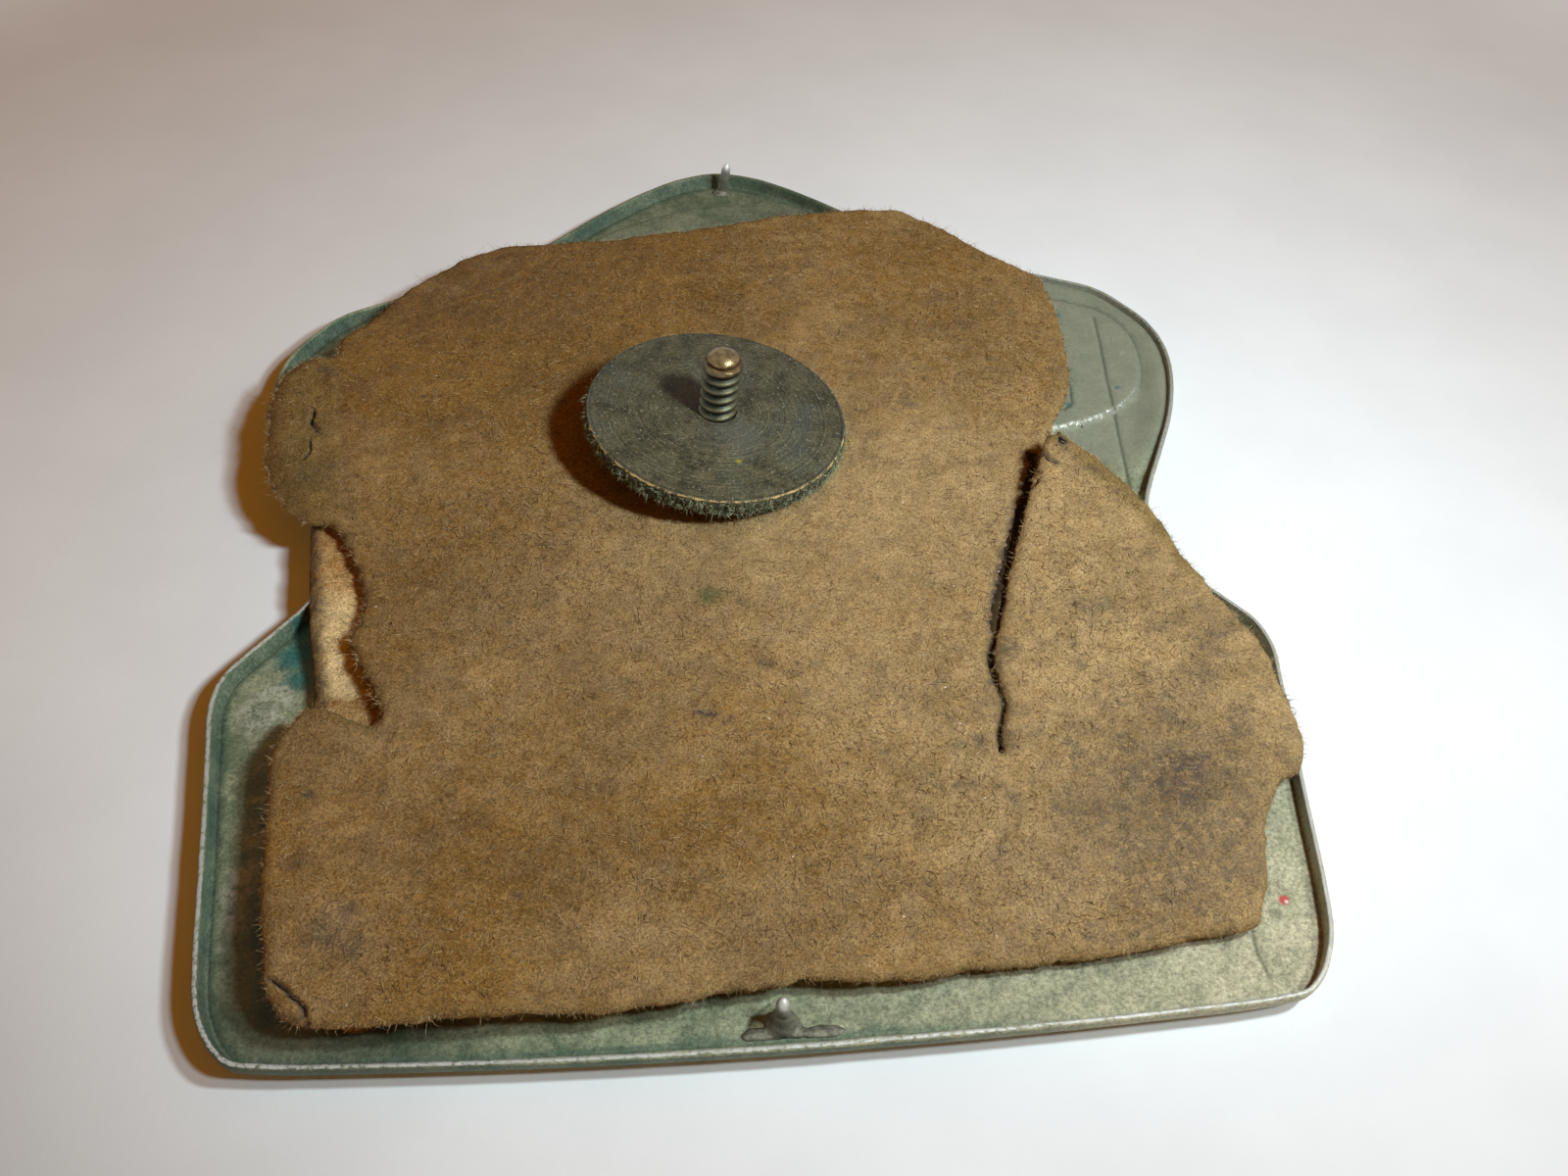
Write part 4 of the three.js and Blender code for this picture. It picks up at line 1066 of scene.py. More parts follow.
def torn_line(parts, seed):
    """A closed outline from (points, raggedness) parts, with a torn edge."""
    lines, rough = [], []
    for points, ragged in parts:
        line = evenly(points, 0.2, False)
        lines.append(line)
        rough.append(np.full(len(line), ragged))
    ring, rough = np.vstack(lines), np.concatenate(rough)
    keep = np.linalg.norm(ring - np.roll(ring, 1, 0), axis=1) > 0.06
    ring, rough = ring[keep], rough[keep]
    if area(ring) < 0:
        ring, rough = ring[::-1], rough[::-1]
    for _ in range(3):
        ring = (np.roll(ring, 1, 0) + 2 * ring + np.roll(ring, -1, 0)) / 4
    shift = wobble(ring, 2.6, seed, 2) * 0.15 + wobble(ring, 0.75, seed + 5, 3) * 0.1
    return inset(ring, shift * rough), rough


def make_ply(sheet, underside, paint, thickness, step, seed, soften, extra=None, cracks=()):
    """A sheet of matted board, still open: a bumpy top, a plain underside and a soft torn edge."""
    build = Build()
    ring, rough = sheet
    post = np.array(POST_FOOT)
    hole = post + PAD_HOLE_RADIUS * oval(1, 1, 40)
    inner = grid(ring, step, seed)
    keep = (distance(inner, ring[::2]) > 0.2) & (np.hypot(*(inner - post).T) > PAD_HOLE_RADIUS + 0.3)
    inner = inner[keep]
    if cracks:
        fine = np.vstack([beside(line, (-0.34, -0.22, -0.11, 0, 0.11, 0.22, 0.34), 0.14) for line in cracks])
        fine = fine[inside(fine, ring) & (distance(fine, ring[::2]) > 0.25)]
        inner = np.vstack((inner[away_from_lines(inner, cracks) > 0.45], fine))
    away = distance(inner, ring[::2])

    def top(points, away):
        z = underside(points) + thickness
        z = z + wobble(points, 11, seed, 2) * 0.07 + wobble(points, 2.4, seed + 1, 2) * 0.035
        z = z + wobble(points, 0.7, seed + 2, 3) * 0.028
        z = z - soften + np.sqrt(np.maximum(soften**2 - np.maximum(soften - away, 0) ** 2, 0))
        return z + extra(points) if extra else z

    worn = paint(ring)
    rim_height = top(ring, np.zeros(len(ring)))
    rim_top = build.loop(ring, rim_height, **worn, edge=1)
    sway = wobble(ring, 0.5, seed + 7, 2) * 0.05 * rough
    sides = [rim_top]
    # Painted shade on the cut walls: those of the slit, and all round the inner ply, are darkened
    worn["smudge"] = np.maximum(worn["smudge"], 0.9 * (rough < 0.5))
    for share, out in ((0.78, 0.08), (0.5, 0.1), (0.22, 0.05), (0, -0.06)):
        z = underside(ring) + (rim_height - underside(ring)) * share * 0.95
        sides.append(build.loop(inset(ring, sway - out), z, **worn, edge=1))
    build.bands(sides[::-1])
    hole_top = build.loop(hole, underside(hole) + thickness - 0.05, **paint(hole), edge=0.5)
    hole_low = build.loop(hole, underside(hole), **paint(hole), edge=0.5)
    build.band(hole_top, hole_low)
    edge = step_up(away, 0.7, 0.05)
    build.fill([rim_top, hole_top], inner, lambda p: top(p, away), True, **paint(inner), edge=edge)
    coarse = inner[::7]

    def below(points):
        return underside(points) + 0.02 * wobble(points, 1.5, seed)

    build.fill([sides[-1], hole_low], coarse, below, False, **paint(coarse), edge=0)
    return build


def smudges(points, places):
    """Ragged smudges at (x, y, radius, strength)."""
    total = np.zeros(len(points))
    ragged = ragged_points(points, 1.8, 0.5, 61, 67, octaves=3)
    for x, y, radius, strength in places:
        away = np.hypot(ragged[:, 0] - x, ragged[:, 1] - y)
        total = np.maximum(total, strength * step_up(away, radius, radius * 0.4))
    return total


CARD_SMUDGES = [
    # The first two, by the flap's tip, are pits darkened near black as painted shade
    (22.8, -1.9, 0.5, 1.3), (23.3, -2.7, 0.45, 1.3),
    (-3.7, -23.3, 0.7, 0.95), (-3.0, -23.6, 0.55, 0.9), (-2.0, -24.2, 0.55, 0.6), (-1.5, -24.6, 0.4, 0.7),
    (-23.9, -37.4, 2.0, 0.5), (-22.6, -38.3, 1.3, 0.6), (-24.4, -36.5, 1.0, 0.5), (-27.2, -32.7, 1.2, 0.35),
    (-26.9, -28.3, 0.5, 0.95), (-14, -36.1, 0.5, 0.6), (19.9, -26.2, 1.6, 0.35), (23, -23.3, 1.4, 0.4),
    (28.9, -22.9, 1.5, 0.45), (16.4, -37.1, 1.8, 0.4), (25.9, -31.4, 2.8, 0.5), (28, -28.5, 2.2, 0.45),
    (18.1, 19.3, 1.1, 0.4), (19.4, 15.1, 1.2, 0.45), (-23.2, 7.5, 0.55, 0.8), (-22.3, 7.6, 0.4, 0.7),
    (5, 21.4, 1.6, 0.3), (12.6, 15.5, 1.0, 0.3), (15.2, -26.8, 1.1, 0.45), (12, -27, 0.9, 0.4),
    (20.5, -26, 0.8, 0.4), (-27.4, -42.2, 1.4, 0.3), (8.2, -20.4, 1.0, 0.3), (-8.1, -18.1, 0.8, 0.3),
    (24.5, -35, 1.2, 0.35), (21.3, -39.3, 1.5, 0.35), (3, -39.5, 1.2, 0.25), (-17.5, -43, 1.2, 0.3),
    (0.8, -19.9, 1.1, 0.45), (2.6, -20.2, 1.1, 0.5), (4.2, -20.1, 0.9, 0.4), (10.5, -18, 0.6, 0.5),
    (9.2, -24.8, 0.7, 0.5), (13.1, 5.3, 0.9, 0.5), (9.6, 4.4, 0.8, 0.4), (22.2, -38.8, 1.2, 0.4),
    (18.2, -37.1, 1.0, 0.4), (12.2, -37.8, 0.9, 0.35), (27.9, -34.3, 0.9, 0.4), (-31.6, 11.2, 0.9, 0.6),
    (-12.3, -41.6, 1.4, 0.35), (-9.1, -29.1, 1.2, 0.3), (-30.9, -0.6, 1.2, 0.35), (-13.2, -13, 1.4, 0.3),
    (-3.2, 23.9, 1.2, 0.35), (-21.5, 24.6, 1.0, 0.35), (-24.8, 17.6, 1.3, 0.3), (-17, -31.5, 1.6, 0.25),
    (24, -33, 9, 0.5), (26, -25, 5, 0.34), (14, -38, 6, 0.28), (-13, -9, 2.0, 0.25), (6, -37, 5, 0.2),
    (25.5, -30, 3.4, 0.8), (17, -36, 2.2, 0.45), (23.6, -2.6, 0.9, 0.5), (25.2, -4.4, 0.8, 0.45),
    (22.4, -1.6, 0.6, 0.5), (27, -7, 0.7, 0.4), (-7, -43, 1.4, 0.4), (-3, -44, 1.0, 0.35),
    (-4, -38, 12, 0.12),
]
CARD_PALES = [
    (-4.1, -11.4, 4.0, 0.5), (1.3, -10.8, 4.5, 0.6), (-7.5, -9.9, 2.5, 0.4), (-23.6, 22.4, 2.4, 0.35),
    (-28.6, -20.2, 1.6, 0.5), (-19.5, 25.6, 2.0, 0.3), (13.3, -28.6, 1.2, 0.4), (24.2, -7.5, 4, 0.15),
    (-16.5, -8.8, 0.35, 0.8), (20, -17, 6, 0.2), (14, -24.4, 0.8, 0.4), (-2, -15.2, 0.8, 0.4),
]

# Creases and cracks in the card, each with its width and depth
CARD_LINES = [
    ([(-30.2, 15.6), (-27.2, 17.9), (-24.1, 19.1), (-20.8, 20.4), (-17.2, 23.5), (-14.9, 26.1)], 0.6, 0.1),
    ([(11.1, -27.1), (13.6, -26.7), (16.2, -26.1), (18.8, -25.8), (21.1, -26.4)], 0.3, 0.12),
    ([(15, -38.6), (17, -37.1), (18.9, -36.3)], 0.3, 0.08),
    ([(-31.7, 6.5), (-31.5, 5.9), (-31.6, 5.0), (-31.0, 4.1)], 0.26, 0.4),
    ([(-31.3, 2.9), (-31.1, 1.9), (-31.4, 1.0)], 0.2, 0.3),
    ([(-31.8, 0.2), (-31.2, -1.2), (-30.4, -1.8)], 0.25, 0.15),
    ([(-27.0, -40.2), (-25.9, -41.0), (-25.0, -41.9), (-24.5, -43.2)], 0.24, 0.3),
    ([(-6, -18.2), (0, -17), (7, -14.5)], 0.3, 0.05),
    ([(-30.6, -24.5), (-27, -25), (-22, -25.2)], 0.4, 0.06),
    ([(22.0, -3.0), (22.3, -3.9), (22.8, -4.2)], 0.34, 0.4),
    ([(26.8, -10.3), (27.2, -10.9), (28.1, -10.4)], 0.2, 0.15),
    ([(-31.1, 12.6), (-29.9, 9.4), (-29.4, 4.8), (-28.5, 0.8), (-28.2, -2.4), (-27.1, -6.0)], 0.5, 0.09),
]
CRACK_DEPTH = 0.2
CRACKS = [line for line, _, depth in CARD_LINES if depth > CRACK_DEPTH]
CARD_RIDGES = [
    ([(-26.7, 19.6), (-23.5, 21.2), (-21.1, 24.0), (-18.4, 26.1)], 1.1, 0.14),
    ([(22.6, -1.6), (24.6, -2.9), (26.2, -4.9), (27.8, -7.2)], 0.8, 0.22),
    ([(-31.9, 12.4), (-30.8, 11.6), (-30.4, 8.5)], 0.9, 0.12),
]
FOLD_LINE = [
    (-31.1, 14.6), (-31.0, 12.7), (-29.9, 9.4), (-29.4, 4.8), (-28.5, 0.8), (-28.2, -2.4), (-27.1, -6.0),
]
FOLD_EDGE_SHARES = [
    (-0.84, -0.13), (-0.92, -0.03), (-0.95, 0.03), (-0.978, 0.17), (-0.97, 0.27), (-0.93, 0.32),
]
FELT_TEARS = [
    [(22.4, -1.2), (24.8, -2.2), (26.6, -5), (29, -8), (31, -13)],
    [(-30.5, -21), (-28, -20.2), (-25, -22.2)],
]


def card_relief(points):
    """Creases, cracks, ridges and the felted fold at the left."""
    z = np.zeros(len(points))
    ragged = ragged_points(points, 1.1, 0.1, 71, 73)
    for line, width, depth in CARD_LINES:
        away = from_line(ragged, line)
        z -= depth * step_up(away, width, 0)
        z += 0.3 * depth * step_up(away, width * 3, width)
    for line, width, rise in CARD_RIDGES:
        z += rise * step_up(from_line(ragged, line), width, 0)
    fold = evenly(place(FOLD_EDGE_SHARES), 0.8, False)
    return z - 0.4 * step_up(from_line(points, fold), 1.5, 0.0) ** 1.5


def flap_shadow(points):
    """Painted shadow: the raised flap's shadow on the sheet to its left."""
    line = place(SLIT_SHARES)[::-1]
    left = np.interp(points[:, 1], line[:, 1], line[:, 0]) - 0.03 - points[:, 0]
    reach = 0.45 + 0.85 * step_up(points[:, 1], -20, -16) + 0.1 * step_up(points[:, 1], -6, -2)
    shown = (left > 0) * step_up(left, reach, reach * 0.6)
    return shown * step_up(points[:, 1], line[0, 1], line[0, 1] + 1) * (points[:, 1] < -0.5)


def card_paint(points):
    """Stains and cracks, warmth and darkness to the left and top, painted shade to the upper left and beside
    the raised flap, and the felt of folds and torn edges.
    """
    x, y = points.T
    cracks = np.zeros(len(points))
    ragged = ragged_points(points, 1.1, 0.1, 71, 73)
    for line, width, depth in CARD_LINES:
        away = from_line(ragged, line)
        if depth > CRACK_DEPTH:
            cracks = np.maximum(cracks, step_up(away, width * 0.9, width * 0.2))
        else:
            cracks = np.maximum(cracks, 2.5 * depth * step_up(away, width, 0))
    slit = 0.75 * step_up(from_line(points, place(SLIT_SHARES[4:])), 0.5, 0.12)
    # Painted shade at the upper left, laid in as a stain
    shade = 0.3 * step_up(x, 0, -14) * step_up(y, 12, 20)
    dirt = step_up(wobble(points, 1.5, 101, 3), 0.15, 0.95)
    dirt = dirt + 0.6 * step_up(wobble(points, 0.8, 107, 2), 0.4, 1)
    dirt = np.clip(dirt * (0.22 + 0.5 * step_up(x, 6, 20) * step_up(y, -8, -24)), 0, 0.6)

    fold_x = np.interp(-y, [-row[1] for row in FOLD_LINE], [row[0] for row in FOLD_LINE])
    beyond = step_up(x + wobble(points, 1.5, 81, 2) * 0.4, fold_x + 0.8, fold_x - 1.2)
    beyond = beyond * step_up(y, -8, -6)
    torn = np.max([step_up(from_line(points, line), 1.8, 0.4) for line in FELT_TEARS], axis=0)

    # Darker and warmer towards the left and top, partly as painted shade where the light falls off; the term
    # for the upper left is wholly painted shade.
    warm = step_up(x, 9, -26) * (0.65 - 0.4 * step_up(y, -12, -30)) + step_up(y, -8, 24) * 0.6
    warm = warm + 0.28 * step_up(x, 6, -12) * step_up(y, 2, 14)
    warm = warm + 0.25 * wobble(points, 8, 91, 2) + 0.5 * step_up(y, -14, -32) * step_up(x, 24, 6)
    stains = [smudges(points, CARD_SMUDGES), cracks, slit, flap_shadow(points), shade, dirt]
    return {
        "smudge": np.maximum.reduce(stains),
        "warm": np.clip(warm, 0, 1),
        "felt": np.clip(np.maximum(beyond, torn), 0, 1),
        "bleached": smudges(points, CARD_PALES),
    }


INNER_SMUDGES = [(-28.9, -12, 0.5, 0.5), (-28.1, -14.4, 0.45, 0.5)]
# The inner ply's left edge, as heights up the badge and places across it
INNER_LEFT = ((-40, -20, -12, -5, 1), (-27.9, -28.1, -29.3, -30.3, -30.9))


def inner_paint(points):
    """The inner ply is felted grey and brown along its rolled left edge, with painted shade there and under
    the slit.
    """
    x, y = points.T
    away = x - np.interp(y, *INNER_LEFT) + wobble(points, 1.3, 95, 2) * 0.25
    slit = step_up(from_line(points, place(SLIT_SHARES)), 2.2, 1.4)
    warm = np.clip(0.75 + 0.4 * wobble(points, 3.2, 93, 2), 0, 1) * step_up(y, -15, -9)
    return {
        # Painted shade along the rolled left edge and under the slit, with a few stains
        "smudge": np.maximum.reduce([smudges(points, INNER_SMUDGES), 0.8 * step_up(away, 0.9, 0.4), slit]),
        "warm": warm + 0.8 * step_up(y, -20.0, -20.5),
        "felt": 0.9 * step_up(away, 1.1, 0.4),
        "bleached": 0.0,
    }


def make_card(material, inner_material):
    slit = place(SLIT_SHARES)
    crease, tip, far = slit[-1], slit[0], place(FLAP_EDGE_SHARES[-1:])[0]
    open_share = np.linspace(1, 0, len(slit))[:, None]
    half = (1 - 0.75 * open_share) * (SLIT_GAP / 2, 0)
    main_side = slit - half - open_share * (0.1, 0)
    parts = [
        (place(PAD_TOP_SHARES), 0.9),
        (np.vstack((main_side, slit[-1:] + (0, -0.3), (slit + half)[::-1])), 0.45),
        (place(FLAP_EDGE_SHARES), 1.1),
        (place(PAD_FOOT_SHARES), 0.7),
        (place(TEAR_SHARES), 1.4),
    ]
    sheet = torn_line(parts, 11)
    region = np.vstack((slit, crease + (0, -0.6), far + (3, 0), place(FLAP_EDGE_SHARES)[::-1] + (3, 3)))
    lie = height_field(UPPER_PLACE_SHARES)

    def underside(points):
        along = np.clip((points[:, 1] - crease[1]) / (tip[1] - crease[1]), 0, 1)
        across = np.clip((far[0] - points[:, 0]) / (far[0] - tip[0]), 0, 1)
        lift = FLAP_LIFT * along**2 * across * inside(points, region)
        return lie(points) + lift

    build = make_ply(
        sheet, underside, card_paint, PLY, step=0.36, seed=21, soften=0.2, extra=card_relief, cracks=CRACKS,
    )
    build.piece("card_upper", "pad", "pad_board", material, ["pad_upper_ply"])
    low_sheet = torn_line([(smooth_ring(place(LOWER_PLY_SHARES), 2), 0.25)], 33)
    low_lie = height_field(LOWER_PLACE_SHARES)
    build = make_ply(low_sheet, low_lie, inner_paint, LOWER_PLY, step=0.5, seed=41, soften=0.6)
    build.piece("card_lower", "pad", "pad_inner_board", inner_material, ["pad_lower_ply"])
    return sheet, underside


def strands(roots, ways, lengths, radius, curl, seed):
    """Fine loose fibres: each a bent three-sided strand with two stretches."""
    random = np.random.default_rng(seed)
    count = len(roots)
    ways = unit(ways)
    bend = random.normal(0, curl, (count, 3))
    side = unit(np.cross(ways, random.normal(0, 1, (count, 3))))
    other = np.cross(ways, side)
    build = Build()
    rings = []
    for share, thin in ((-0.05, 1.0), (0.5, 0.8), (1.0, 0.25)):
        middle = roots + lengths[:, None] * (ways * share + bend * share**2)
        for corner in range(3):
            angle = corner * 2 * math.pi / 3
            rings.append(middle + radius * thin * (math.cos(angle) * side + math.sin(angle) * other))
    build.add(np.stack(rings, 1))
    base = np.arange(count)[:, None] * 9
    quads = []
    for level in (0, 3):
        for corner in range(3):
            after = (corner + 1) % 3
            quads.append(base + [level + corner, level + after, level + 3 + after, level + 3 + corner])
    build.faces = np.vstack(quads).tolist() + (base + [0, 2, 1]).tolist() + (base + [6, 7, 8]).tolist()
    return build


def make_card_fibres(sheet, underside, material):
    """Fibres standing out of the torn edge, and matted ones lying on the top."""
    random = np.random.default_rng(5)
    ring, rough = sheet
    count = EDGE_FIBRES
    weight = (0.5 + rough) / (0.5 + rough).sum()
    pick = random.choice(len(ring), count, p=weight)
    along = along_ring(ring)
    out = -to_left(along)[pick]
    share = 1 - 0.9 * random.uniform(0, 1, count) ** 1.6
    sideways = along[pick] * random.uniform(-0.1, 0.1, (count, 1))
    point = ring[pick] + sideways - out * 0.2 * share[:, None] ** 4
    height = underside(point) + PLY * share + card_relief(point) * share - 0.24 * share**4
    roots = np.column_stack((point, height))
    ways = np.column_stack((out, 0.45 * share)) + random.normal(0, 0.6, (count, 3))
    lengths = random.gamma(3.0, 0.065, count) * (0.7 + 0.4 * rough[pick])
    edge = strands(roots, ways, lengths, radius=0.019, curl=0.5, seed=6)
    edge.piece("card_edge_fibres", "pad", "pad_board", material)

    spots = grid(inset(ring, 0.6), 0.5, 8)
    spots = spots[np.hypot(*(spots - POST_FOOT).T) > PAD_HOLE_RADIUS + 0.4]
    spots = spots + random.uniform(-0.4, 0.4, spots.shape)
    spots = spots[inside(spots, ring[::3]) & (distance(spots, ring[::3]) > 0.4)]
    beside_nut = np.hypot(*(spots - POST_FOOT).T) < NUT_RADIUS + 2
    spots = spots[~beside_nut | (spots[:, 0] < 0)]
    count = len(spots)
    roots = np.column_stack((spots, underside(spots) + PLY + card_relief(spots)))
    turn = random.uniform(0, 2 * math.pi, count)
    ways = np.column_stack((np.cos(turn), np.sin(turn), random.uniform(0.0, 0.22, count)))
    lengths = random.uniform(0.25, 0.75, count)
    top = strands(roots, ways, lengths, radius=0.02, curl=0.3, seed=7)
    top.piece("card_top_fibres", "pad", "pad_board", material)


def on_post(height):
    return placed(*POST_FOOT, FLOOR_Z, POST_TILT) @ Matrix.Translation((0, 0, height * MM))


def nut_top(radius):
    return NUT_THICKNESS - NUT_DOME * (radius / NUT_RADIUS) ** 2


def make_nut(material, lint_material):
    """The knurled disc: lathe-domed on top, with flat-topped teeth round its edge."""
    bore = BUSH_RADIUS + 0.004
    body = NUT_RADIUS - KNURL_DEPTH
    profile = [(bore, 0), (5, 0), (8, 0), (body - 0.25, 0), (body - 0.05, 0.05), (body, 0.14)]
    full_from = len(profile) - 1
    profile += [(body, 0.5), (body, 0.8), (body, 0.98)]
    full_to = len(profile)
    profile += [(body + 0.05, 1.1), (body, nut_top(body) - 0.01), (body - 0.07, nut_top(body))]
    profile += [(r, nut_top(r)) for r in np.linspace(body - 0.4, bore + 0.06, 18)]
    profile += [(bore + 0.01, nut_top(bore)), (bore, nut_top(bore) - 0.01)]

    def teeth(row, angle):
        if not full_from <= row < full_to:
            return 0.0
        phase = (angle * KNURL_TEETH / (2 * math.pi)) % 1
        up = np.minimum(step_up(phase, 0.05, 0.3), step_up(phase, 0.9, 0.65))
        full = 0.75 if row in (full_from, full_to - 1) else 1.0
        return KNURL_DEPTH * up * full

    build = Build()
    turned(build, profile, KNURL_TEETH * 10, teeth)
    x, y, z = np.vstack(build.corners).T
    # Gold where the knurl's top corner is worn, only to the front: partly real wear, partly a painted glint
    wear = step_up(np.hypot(x, y), body - 0.06, body + 0.02) * step_up(z, 1.04, 1.12) * step_up(y, 1, -3)
    build.paint["wear"] = [(0, wear)]
    build.piece("nut_knurled", "nut", "nut_brass", material, ["nut_disc"], on_post(NUT_UNDERSIDE))

    random = np.random.default_rng(12)
    count = NUT_FIBRES
    angle = random.uniform(0, 2 * math.pi, count)
    out = np.column_stack((np.cos(angle), np.sin(angle), np.zeros(count)))
    roots = out * (body + 0.06)
    roots[:, 2] = random.uniform(0.0, 1.02, count)
    sideways = np.column_stack((-out[:, 1], out[:, 0], np.zeros(count)))
    ways = out * 0.3 + sideways * random.normal(0, 0.9, (count, 1))
    ways[:, 2] -= random.uniform(-0.2, 0.8, count)
    matrix = np.array(on_post(NUT_UNDERSIDE))
    roots = roots @ matrix[:3, :3].T + matrix[:3, 3] / MM
    ways = ways @ matrix[:3, :3].T
    lengths = np.minimum(random.gamma(3.0, 0.085, count), 0.5)
    loose = strands(roots, ways, lengths, radius=0.027, curl=0.4, seed=13)
    loose.piece("nut_lint", "nut", "nut_brass", lint_material)


def make_bush(material):
    """The bush staked into the disc, level with its top."""
    build = Build()
    high = nut_top(BUSH_RADIUS)
    profile = [(BUSH_BORE, 0.1), (BUSH_BORE + 0.1, 0), (BUSH_RADIUS, 0), (BUSH_RADIUS, high - 0.01),
               (BUSH_RADIUS - 0.01, high), (BUSH_RADIUS - 0.06, high), (BUSH_BORE + 0.08, high),
               (BUSH_BORE + 0.02, high), (BUSH_BORE, high - 0.02)]
    turned(build, profile, KNURL_TEETH * 5, wear=0.0)
    build.piece("nut_bush_ring", "bush", "nut_brass", material, ["nut_bush"], on_post(NUT_UNDERSIDE))


def make_screw(material):
    """The post: a rolled thread with dark grooves and a domed, polished tip."""
    angle, around = round_steps(60)
    build = Build()
    rows = []

    def row(z, limit, wear):
        phase = (z / THREAD_PITCH - angle / (2 * math.pi)) % 1
        crest = np.minimum(step_up(phase, 0.08, 0.46), step_up(phase, 0.98, 0.6))
        radius = np.minimum(THREAD_RADIUS - THREAD_DEPTH * (1 - crest), limit)
        shine = np.clip(wear + 0.12 * step_up(crest, 0.85, 1), 0, 1)
        rows.append(build.loop(around * radius[:, None], z, groove=(1 - crest) * (1 - wear), wear=shine))

    shoulder = POST_LENGTH - TIP_HEIGHT
    for z in np.arange(THREAD_FOOT, shoulder, 0.055):
        row(z, THREAD_RADIUS, 0)
    for a in np.linspace(0, math.pi / 2 - 0.1, 12):
        limit = (THREAD_RADIUS + 0.015) * math.cos(a) ** 0.92
        row(shoulder + TIP_HEIGHT * math.sin(a), limit, step_up(a, 0.0, 0.3))
    build.bands(rows)
    build.fan(rows[-1], build.add([(0, 0, POST_LENGTH)], groove=0, wear=1)[0])
    build.fan(rows[0], build.add([(0, 0, THREAD_FOOT)], groove=0, wear=0)[0], up=False)
    build.piece("screw_thread", "badge", "post_brass", material, ["screw_post"], on_post(0))

    flange = Build()
    profile = [(0, 0), (3.1, 0), (3.2, 0.1), (3.15, 0.3), (2.2, 0.42), (1.6, 0.5), (0, 0.5)]
    turned(flange, profile, 64, wear=0, groove=0)
    flange.piece("screw_flange", "badge", "post_brass", material, [], placed(*POST_FOOT, FLOOR_Z))


def make_prong(name, node, at, height, tilt, material):
    """A pin of an even width with a short rounded point."""
    build = Build()
    thick = PRONG_RADIUS
    profile = [(0, -0.02), (thick * 1.1, 0), (thick, 0.3), (thick, height * 0.4)]
    for radius, share in ((1, 1), (0.93, 0.72), (0.72, 0.4), (0.42, 0.13)):
        profile.append((thick * radius, height - PRONG_POINT * share))
    profile += [(0.08, height - 0.02), (0, height)]

    def dents(row, angle):
        return 0.02 * np.sin(2 * angle + row) if 0 < row < 7 else 0.0

    turned(build, profile, 28, dents)
    z = np.vstack(build.corners)[:, 2]
    build.paint["wear"] = [(0, step_up(z, height - 1.0, height - 0.2))]
    build.piece(name, "badge", "prong_metal", material, [node], placed(*at, FLOOR_Z, tilt))


# The lower solder's outline, in millimetres about its prong
POOL = [
    (-2.2, -0.8), (-1.9, -0.35), (-1.0, -0.25), (-0.75, 0.3), (0, 0.7), (0.75, 0.3), (1.1, -0.4),
    (2.0, -0.3), (2.8, -0.45), (3.4, -0.7), (3.0, -0.95), (0.5, -1.0), (-1.2, -0.98),
]


def make_solder(name, node, at, ring, material, peak, spread):
    """Solder round a pin: a thin pool that climbs the pin as a cone."""
    build = Build()
    at = np.array(at)
    ring = evenly(turning_left(ring), 0.12, True) + at
    ring = inset(ring, wobble(ring, 0.6, 3, 2) * 0.08)

    def height(points):
        away = np.hypot(*(points - at).T)
        cone = peak * np.clip(1 - away / spread, 0, 1) ** 1.3
        pool = 0.08 * step_up(distance(points, ring[::2]), 0, 0.4)
        return floor_height(points) + 0.06 + pool + cone + wobble(points, 0.5, 17, 2) * 0.025

    low = build.loop(ring, FLOOR_Z - 0.15, wear=0)
    high = build.loop(ring, floor_height(ring) + 0.05, wear=0)
    build.band(low, high)
    inner = grid(ring, 0.11, 9)
    inner = inner[distance(inner, ring[::2]) > 0.07]
    build.fill([high], inner, height, True, wear=0)
    build.fill([low], [], FLOOR_Z - 0.15, False)
    return build.piece(name, "badge", "solder", material, [node])


def make_fastenings(pin_metal, solder):
    make_prong("pin_upper", "upper_prong", UPPER_PRONG, UPPER_PRONG_HEIGHT, UPPER_PRONG_TILT, pin_metal)
    make_prong("pin_lower", "lower_prong", LOWER_PRONG, LOWER_PRONG_HEIGHT, LOWER_PRONG_TILT, pin_metal)
    dot = oval(0.85, 0.7)
    make_solder("solder_upper", "upper_prong_solder", UPPER_PRONG, dot, solder, peak=0.5, spread=0.8)
    pool = smooth_ring(np.array(POOL), 6)
    make_solder("solder_lower", "lower_prong_solder", LOWER_PRONG, pool, solder, peak=1.9, spread=1.0)
    make_solder("solder_post", "post_solder", POST_FOOT, oval(4.4, 4.4, 90), solder, peak=0.5, spread=4.2)


# Everything in place

pin_metal = dull_metal("pin_metal", *PIN_SKIN)
solder_metal = dull_metal("solder_metal", *SOLDER_SKIN)
make_shell(patina())
enamel = enamel_glass()
for cell_node, cell_ring in cell_rings.items():
    make_enamel(cell_node, cell_ring, enamel)
card_sheet, card_underside = make_card(
    board("card_board", CARD_LIGHT, CARD_DARK, CARD_PALE),
    board("inner_board", INNER_LIGHT, INNER_DARK, INNER_PALE),
)
make_card_fibres(card_sheet, card_underside, lint("card_fibre", *CARD_LINT))
brass = dark_brass()
make_nut(brass, lint("nut_fibre", *NUT_LINT))
make_bush(brass)
make_screw(screw_brass())
make_fastenings(pin_metal, solder_metal)


# Camera, floor and light

CAMERA_PLACE = Vector((-3.07, -76.9, 72.59))
CAMERA_WAY = Vector((0.0588, 0.6762, -0.7344))
CAMERA_ROLL = math.radians(0.8)
LENS = 31.89
FLOOR_REACH = 6.0
FLOOR_GAP = 0.00002
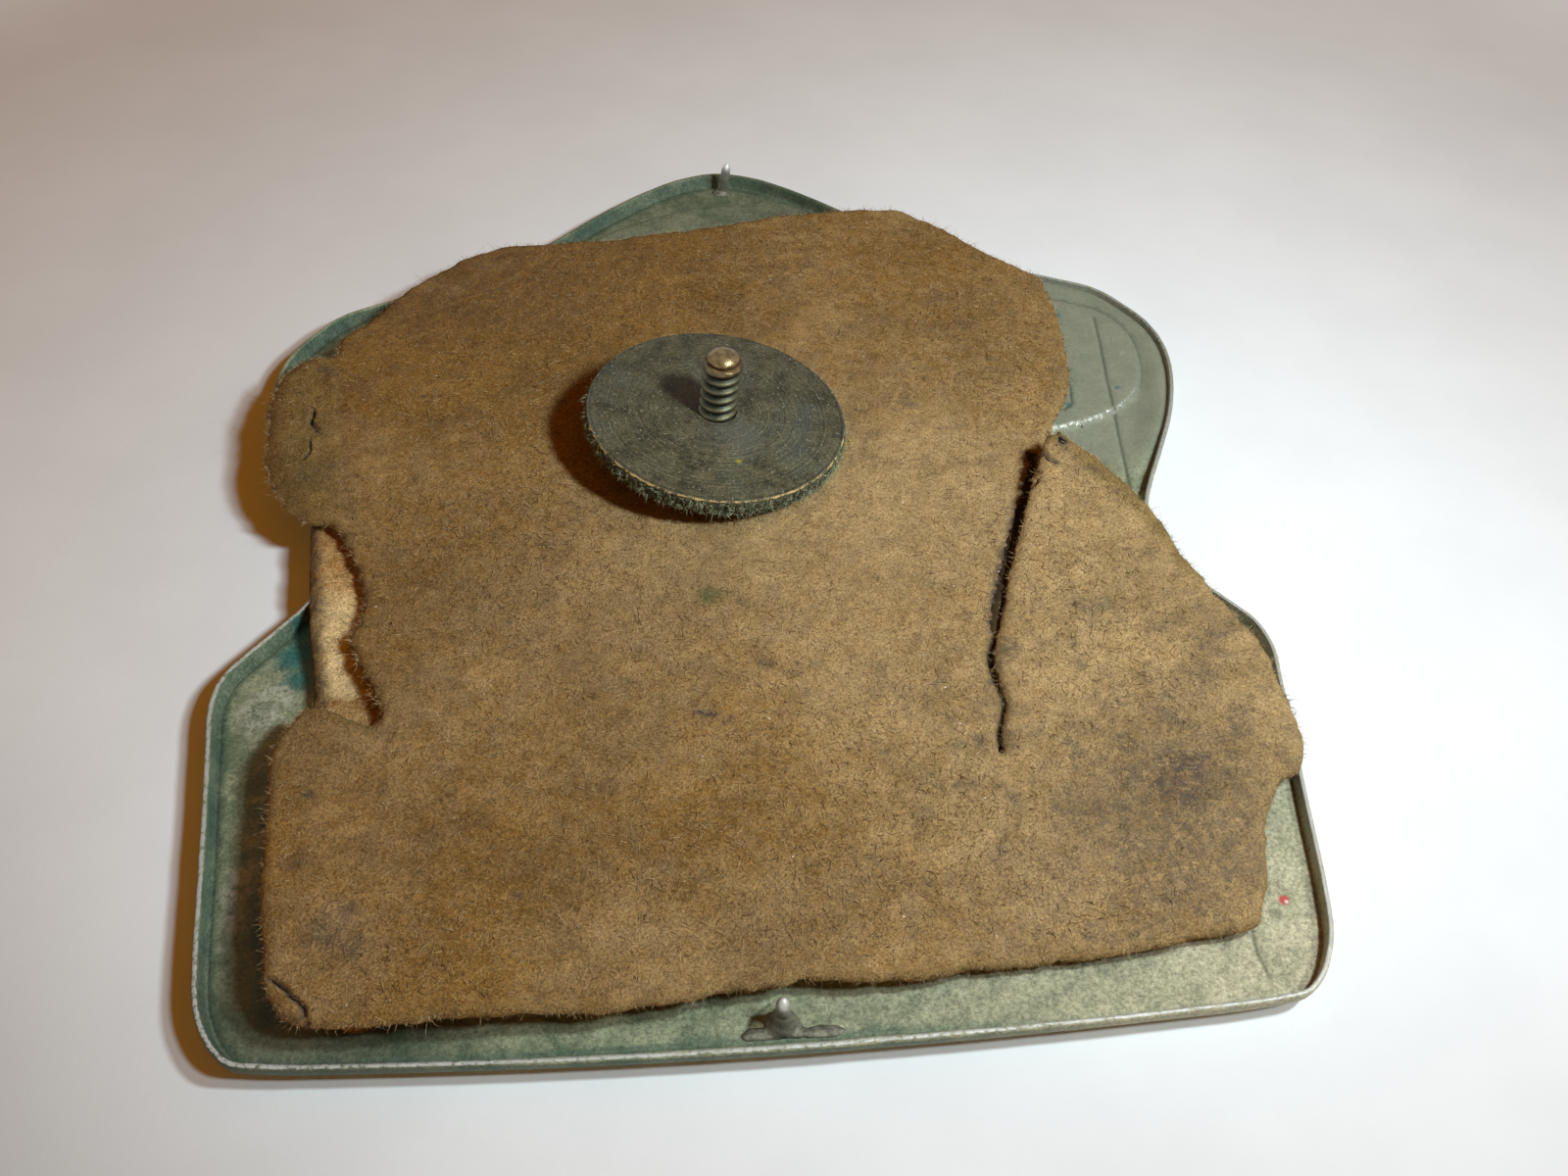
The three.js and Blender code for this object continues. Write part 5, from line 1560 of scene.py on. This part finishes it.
# Each lamp's place, target, width and power
LAMPS = {
    "key": ((56, -46, 82), (-30, 70, 0), 12, 0.092),
    "far_key": ((150, -100, 200), (-60, 120, 0), 28, 0.285),
}


def aim(made, at, way, roll=0.0):
    """Stands a camera or a lamp at a place in millimetres and points it along a way."""
    made.location = at * MM
    made.rotation_mode = "QUATERNION"
    made.rotation_quaternion = way.to_track_quat("-Z", "Y") @ Quaternion((0, 0, 1), roll)


def make_camera():
    camera = add_object("camera", bpy.data.cameras.new("camera"))
    camera.data.lens = LENS
    camera.data.sensor_width = 36
    camera.data.clip_start = 0.005
    camera.data.clip_end = 20
    aim(camera, CAMERA_PLACE, CAMERA_WAY, CAMERA_ROLL)
    bpy.context.scene.camera = camera


def make_lamp(name, at, target, size, power):
    lamp = add_object(name, bpy.data.lights.new(name, "AREA"))
    lamp.data.shape = "DISK"
    lamp.data.size = size * MM
    lamp.data.energy = power
    lamp.data.color = LAMP_COLOUR
    aim(lamp, Vector(at), Vector(target) - Vector(at))


def make_floor(material):
    mesh = bpy.data.meshes.new("floor")
    square = [(-1, -1), (1, -1), (1, 1), (-1, 1)]
    mesh.from_pydata([(x * FLOOR_REACH, y * FLOOR_REACH, 0) for x, y in square], [], [range(4)])
    floor = add_object("floor", mesh)
    mesh.materials.append(material)
    floor.location.z = cad_box[0].z - FLOOR_GAP


def make_world():
    """A warm fill for the light between things, and a plain backdrop for all that is seen or mirrored."""
    world = bpy.data.worlds.new("studio")
    bpy.context.scene.world = world
    world.use_nodes = True
    nodes, links = world.node_tree.nodes, world.node_tree.links
    path = nodes.new("ShaderNodeLightPath")
    colour = nodes.new("ShaderNodeMix")
    colour.data_type = "RGBA"
    colour.inputs[6].default_value = (*BACKDROP, 1)
    colour.inputs[7].default_value = (*FILL, 1)
    links.new(path.outputs["Is Diffuse Ray"], colour.inputs[0])
    links.new(colour.outputs[2], nodes["Background"].inputs["Color"])


make_camera()
make_floor(table_top())
for lamp_name, settings in LAMPS.items():
    make_lamp(lamp_name, *settings)
make_world()
bpy.context.scene.view_settings.view_transform = "Standard"
